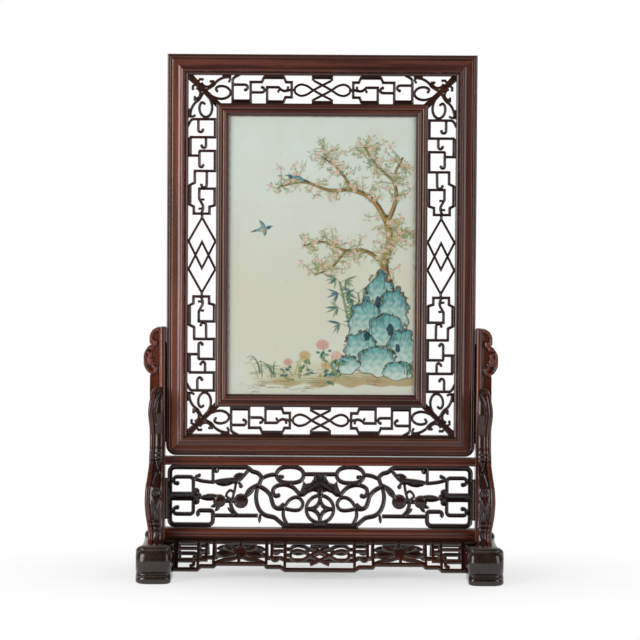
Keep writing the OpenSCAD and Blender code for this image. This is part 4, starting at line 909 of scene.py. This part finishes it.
def bracket(node, side, way):
    """A board carved to a roll outside and a leafy band inside, built up from level to level. side is the way
    out in X, way the way to the front or the back in Y."""
    levels = np.linspace(-1.5, bracket_tall, 260)
    share = np.clip(levels / bracket_tall, 0, 1)
    kernel = np.hanning(15) / np.hanning(15).sum()
    reach, thick = (np.convolve(np.pad(np.interp(share, *np.array(line).T[::-1]), 7, "edge"), kernel, "valid")
                    for line in (bracket_edge, bracket_side))
    # the head rounds off over its last 9 mm
    head = np.sqrt(1 - (np.clip(levels - bracket_tall + 9, 0, 9) / 9.4) ** 2)
    reach, thick = reach * (0.3 + 0.7 * head), thick * (0.5 + 0.5 * head)
    inner = -7.5 * (0.5 + 0.5 * head)
    z = bracket_foot + levels

    # front edge: hollow band with its gouged leaves, then the roll, both tied by rings
    roll_wide = 6.2
    across = np.linspace(0, 1, 44)[None] * (thick - inner)[:, None] + inner[:, None]
    quirk = (thick - roll_wide)[:, None]
    band = 2 * (across - inner[:, None]) / (quirk - inner[:, None]) - 1
    roll = np.clip(2 * (across - quirk) / roll_wide - 1, -1, 1)
    spots = np.stack([across, np.broadcast_to(z[:, None], across.shape)], -1).reshape(-1, 2)
    veins = sum(groove(spots, path, 1.5, 1.0) for path in bracket_leaf).reshape(across.shape)
    hollow = -1.0 - 1.7 * band ** 2 + np.maximum(veins, -2.0)
    sunk = np.where(across < quirk, hollow, -2.6 * (1 - np.sqrt(1 - 0.97 * roll ** 2)))
    for ring in (68, 74, 154, 160):
        sunk -= 1.0 * np.exp(-((z[:, None] - ring) / 1.5) ** 2)
    front = reach[:, None] + sunk * np.minimum(1, reach[:, None] / 9)
    # colour: the roll lighter for wear, the sunk band and the rings darker as painted shade
    front_wear_and_shade = np.clip(np.where(across < quirk, 0.5 + 0.25 * sunk, 1 + 0.3 * sunk), 0, 1)

    # flanks: scrolls and a line that follows the waved edge
    share = np.linspace(0, 1, 26)[None]
    rise = np.linspace(0, 1, 200)
    border = np.interp(rise, *np.array(bracket_edge).T[::-1])
    border = np.stack([border, bracket_foot + bracket_tall * rise], 1)
    flanks = []
    for column, wall in ((0, inner), (-1, thick)):
        out = share * front[:, [column]] + (share - 1) * 1.5
        spots = np.stack([out, np.broadcast_to(z[:, None], out.shape)], -1).reshape(-1, 2)
        cut = sum(groove(spots, path, 1.2, 1.1) for path in bracket_flank)
        cut -= 1.1 * np.exp(-((nearest(spots, border[:-1], border[1:]) - 5.5) / 1.1) ** 2)
        cut = np.clip(cut.reshape(out.shape), -1.8, 0) * (share < 0.97)
        cut *= np.clip((reach - 8) / 6, 0, 1)[:, None]
        # the flank gouges are painted darker, as painted shade
        flanks.append((wall[:, None] + np.sign(wall[:, None]) * cut, out, np.clip(0.8 + 0.5 * cut, 0, 1)))

    middle = (across, front, front_wear_and_shade)
    ring_x, ring_y, wear_and_shade = (np.concatenate([inside[:, :-1], edge, outside[:, -2::-1]], 1)
                            for inside, edge, outside in zip(flanks[0], middle, flanks[1]))
    points = np.stack([side * (post_x + ring_x), way * (post_front + ring_y),
                       np.broadcast_to(z[:, None], ring_x.shape)], -1).reshape(-1, 3)
    joined(node, node + "_carved", "stand", bracket_wood, points, tube(*ring_x.shape),
           60, wear_and_shade.ravel())


for face, way in (("front", -1), ("back", 1)):
    for hand_side, side in (("left", -1), ("right", 1)):
        bracket(f"bracket_{face}_{hand_side}", side, way)


# Stretcher rails
# Two rails between the posts, tenoned into them, above and below the pierced panel. Planed from the solid:
# the upper one to a bead, a swelling and a lower step, the lower one to a swelling over a quirk.


def mould(node, wood, half):
    """A bar planed to one section, given as depth from its middle and height over its foot, on both faces."""
    low, high = box_mm(node)
    tenon = 8
    section = [(-y, z) for y, z in half] + [(y, z) for y, z in half[::-1]]
    points = [(x, y, low[2] + z) for x in (low[0] + tenon, high[0] - tenon) for y, z in section]
    joined(node, node + "_planed", "stand", wood, points, tube(2, len(section)), 38)


rail_wood = rosewood("oiled rosewood, stretchers", "X", "#1c0b08", "#522213", "#692d19", 0.25)
mould("upper_rail", rail_wood, [
    (8.4, 10.5), (9.1, 10.2), (9.3, 9.6), (9.1, 9.0), (9.5, 8.6), (9.9, 7.8), (10, 7.0), (9.8, 6.2),
    (9.3, 5.6), (8.4, 5.3), (8.4, 4.9), (8.9, 4.4), (9.0, 1.6), (8.8, 0.6), (8.2, 0)])
mould("lower_rail", rail_wood, [
    (10.2, 10.5), (11.0, 10.2), (11.6, 9.4), (11.9, 8.0), (12, 6.4), (11.9, 4.6), (11.6, 3.2), (10.8, 2.5),
    (10.8, 2.1), (11.4, 1.7), (11.4, 0.5), (10.9, 0)])


# Pierced panel
# One board between the rails, pierced with a saw and carved with a fruiting vine around a coin.
# The stems are beaded and hollowed, the fruits domed and the leaves veined with a gouge.


def vine_relief(fruits, veins, origin, scale):
    """Height of carved fruits and leaf veins over a board, from their places on its drawing."""
    scale = np.array(scale)

    def height(u, v):
        spots = np.stack([np.abs(u), v], 1)
        lift = np.zeros(len(u))
        for x, z, r, tall in fruits:
            away = np.hypot(*(spots - (np.array((x, z)) * scale + origin)).T) / (r * scale[0])
            lift += np.where(away < 1, tall * np.sqrt(np.clip(1 - away ** 2, 0, 1)) - 0.5 * (away > 0.82), 0)
        for vein in veins:
            lift += groove(spots, np.array(vein) * scale + origin, 0.8, 0.7)
        return lift

    return height


vine_wood = rosewood("carved rosewood", "X", "#070403", "#25130f", "#3c1c15", 0.2, "crest")
panel_relief = vine_relief(
    [(131.3, 36, 8.3, 2.2), (103.4, 36, 9.5, 2.2), (135.4, 76.8, 3.5, 1.0), (158.6, 41.9, 3.8, 1.0)],
    [[(141, 61), (120, 57), (101, 67.5)], [(158, 40), (124, 41)], [(98, 40), (81, 60)],
     [(113, 68.5), (97, 71.4)], [(143, 28), (128, 33)], [(137, 22), (129, 32)], [(120, 26), (107, 16)],
     [(96, 46), (108, 40), (112, 30)], [(0, 70), (0, 47)], [(5, 66), (14, 58), (22, 47)],
     [(3, 58), (12, 52), (20, 45)], [(190, 41.9), (166, 41.9)]],
    (0, 60.5), (1.001, 0.982))
carve("pierced_panel", "stand", vine_wood, 1.0, 0.9, relief=panel_relief, swell=0.2)


# Aprons
# Two boards that slope out from under the lower rail to the toes, front and back, between the feet.
# Pierced like the frets, with a fruit and its leaves between stepped cells.

lean = math.radians(40)
apron_tall = 50
apron_wood = rosewood("carved rosewood, aprons", "X", "#080403", "#3c1b11", "#582918", 0.22, "crest")
for node, way in (("apron_front", -1), ("apron_back", 1)):
    out = (0, way * math.cos(lean), math.sin(lean))
    up_slope = Vector((0, -way * math.sin(lean), math.cos(lean)))
    edge = min(up_slope @ v.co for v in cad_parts[node].data.vertices) * 1000
    fruit = vine_relief(
        [(103, 23.5, 8.5, 1.8)],
        [[(135, 25), (108, 25)], [(71, 27), (98, 25)], [(126, 13), (108, 19.6)], [(80, 13), (98, 19.6)]],
        (0, edge + apron_tall), (1.004, -0.98))
    carve(node, "stand", apron_wood, 0.8, 0.5, out, fruit, 0.2)


# Studio
# A sheet of white paper that keeps the shadow and ends short of the camera, tall soft lights on both sides,
# a dark room in front, and the camera a little above the middle of the screen, looking down on it slightly.

floor_mesh = bpy.data.meshes.new("studio_floor")
floor_mesh.from_pydata([(-6, -0.75, 0), (6, -0.75, 0), (6, 6, 0), (-6, 6, 0)], [], [(0, 1, 2, 3)])
floor = put("studio_floor", floor_mesh)
# White paper, matt; beyond the shadow it goes over to the white of the background
sweep, tree, paper = new_material("white paper sweep")
paper.inputs["Base Color"].default_value = linear("#f2f2f0")
paper.inputs["Roughness"].default_value = 0.9
place = add(tree, "NewGeometry").outputs["Position"]
spread = add(tree, "Mapping", {"Vector": place, "Scale": (0.5, 1.0, 1.0)})
distance = add(tree, "VectorMath", {0: spread.outputs[0]}, operation="LENGTH")
far = add(tree, "MapRange", {"Value": distance.outputs["Value"], "From Min": -0.2, "From Max": 0.3},
          interpolation_type="SMOOTHSTEP")
rays = add(tree, "LightPath")
seen = add(tree, "Math", {0: rays.outputs["Is Camera Ray"], 1: rays.outputs["Is Glossy Ray"]},
           operation="MAXIMUM")
seen = add(tree, "Math", {0: seen.outputs[0], 1: rays.outputs["Is Transmission Ray"]}, operation="MAXIMUM")
white = add(tree, "Math", {0: seen.outputs[0], 1: far.outputs[0]}, operation="MULTIPLY")
glow = add(tree, "Emission", {"Color": (1, 1, 1, 1), "Strength": 1.0})
mix = add(tree, "MixShader", {0: white.outputs[0], 1: paper.outputs[0], 2: glow.outputs[0]})
tree.links.new(mix.outputs[0], tree.nodes["Material Output"].inputs["Surface"])
floor_mesh.materials.append(sweep)

# white to the camera, brighter behind the object than in front of it to what the wood reflects
world = bpy.data.worlds.new("white studio")
bpy.context.scene.world = world
world.use_nodes = True
tree = world.node_tree
rays = add(tree, "LightPath")
seen = add(tree, "Math", {0: rays.outputs["Is Camera Ray"], 1: rays.outputs["Is Transmission Ray"]},
           operation="MAXIMUM")
heading = add(tree, "SeparateXYZ", {0: add(tree, "TexCoord").outputs["Generated"]}).outputs["Y"]
shine = add(tree, "MapRange", {"Value": heading, "From Min": -0.1, "From Max": 0.5,
                               "To Min": 0.03, "To Max": 1.0})
ambient = add(tree, "MapRange", {"Value": heading, "From Min": -1.0, "From Max": 1.0,
                                 "To Min": 0.2, "To Max": 0.7})
level = add(tree, "Mix", {0: rays.outputs["Is Glossy Ray"], 2: ambient.outputs[0], 3: shine.outputs[0]})
level = add(tree, "Math", {0: level.outputs[0], 1: seen.outputs[0]}, operation="MAXIMUM")
tree.nodes["Background"].inputs["Color"].default_value = (1, 1, 1, 1)
tree.links.new(level.outputs[0], tree.nodes["Background"].inputs["Strength"])

aim = Vector((0, 0, 0.35))
for name, place, wide, tall, power in (("left softbox", (-1.5, -1.35, 0.75), 1.0, 1.7, 33),
                                       ("right softbox", (1.6, -1.25, 0.75), 0.9, 1.7, 14)):
    lamp = bpy.data.lights.new(name, "AREA")
    lamp.shape = "RECTANGLE"
    lamp.size, lamp.size_y = wide, tall
    lamp.energy = power
    box = put(name, lamp)
    box.location = place
    box.rotation_euler = (aim - Vector(place)).to_track_quat("-Z", "Y").to_euler()

lens = bpy.data.cameras.new("camera")
lens.sensor_width = 36
lens.lens = 129.52
lens.shift_y = -0.049
camera = put("camera", lens)
camera.location = (-0.0023, -3.0, 0.4783)
down, roll = 1.988, -0.344
camera.rotation_euler = (math.radians(90 - down), math.radians(roll), 0)
bpy.context.scene.camera = camera
bpy.context.scene.view_settings.view_transform = "Standard"
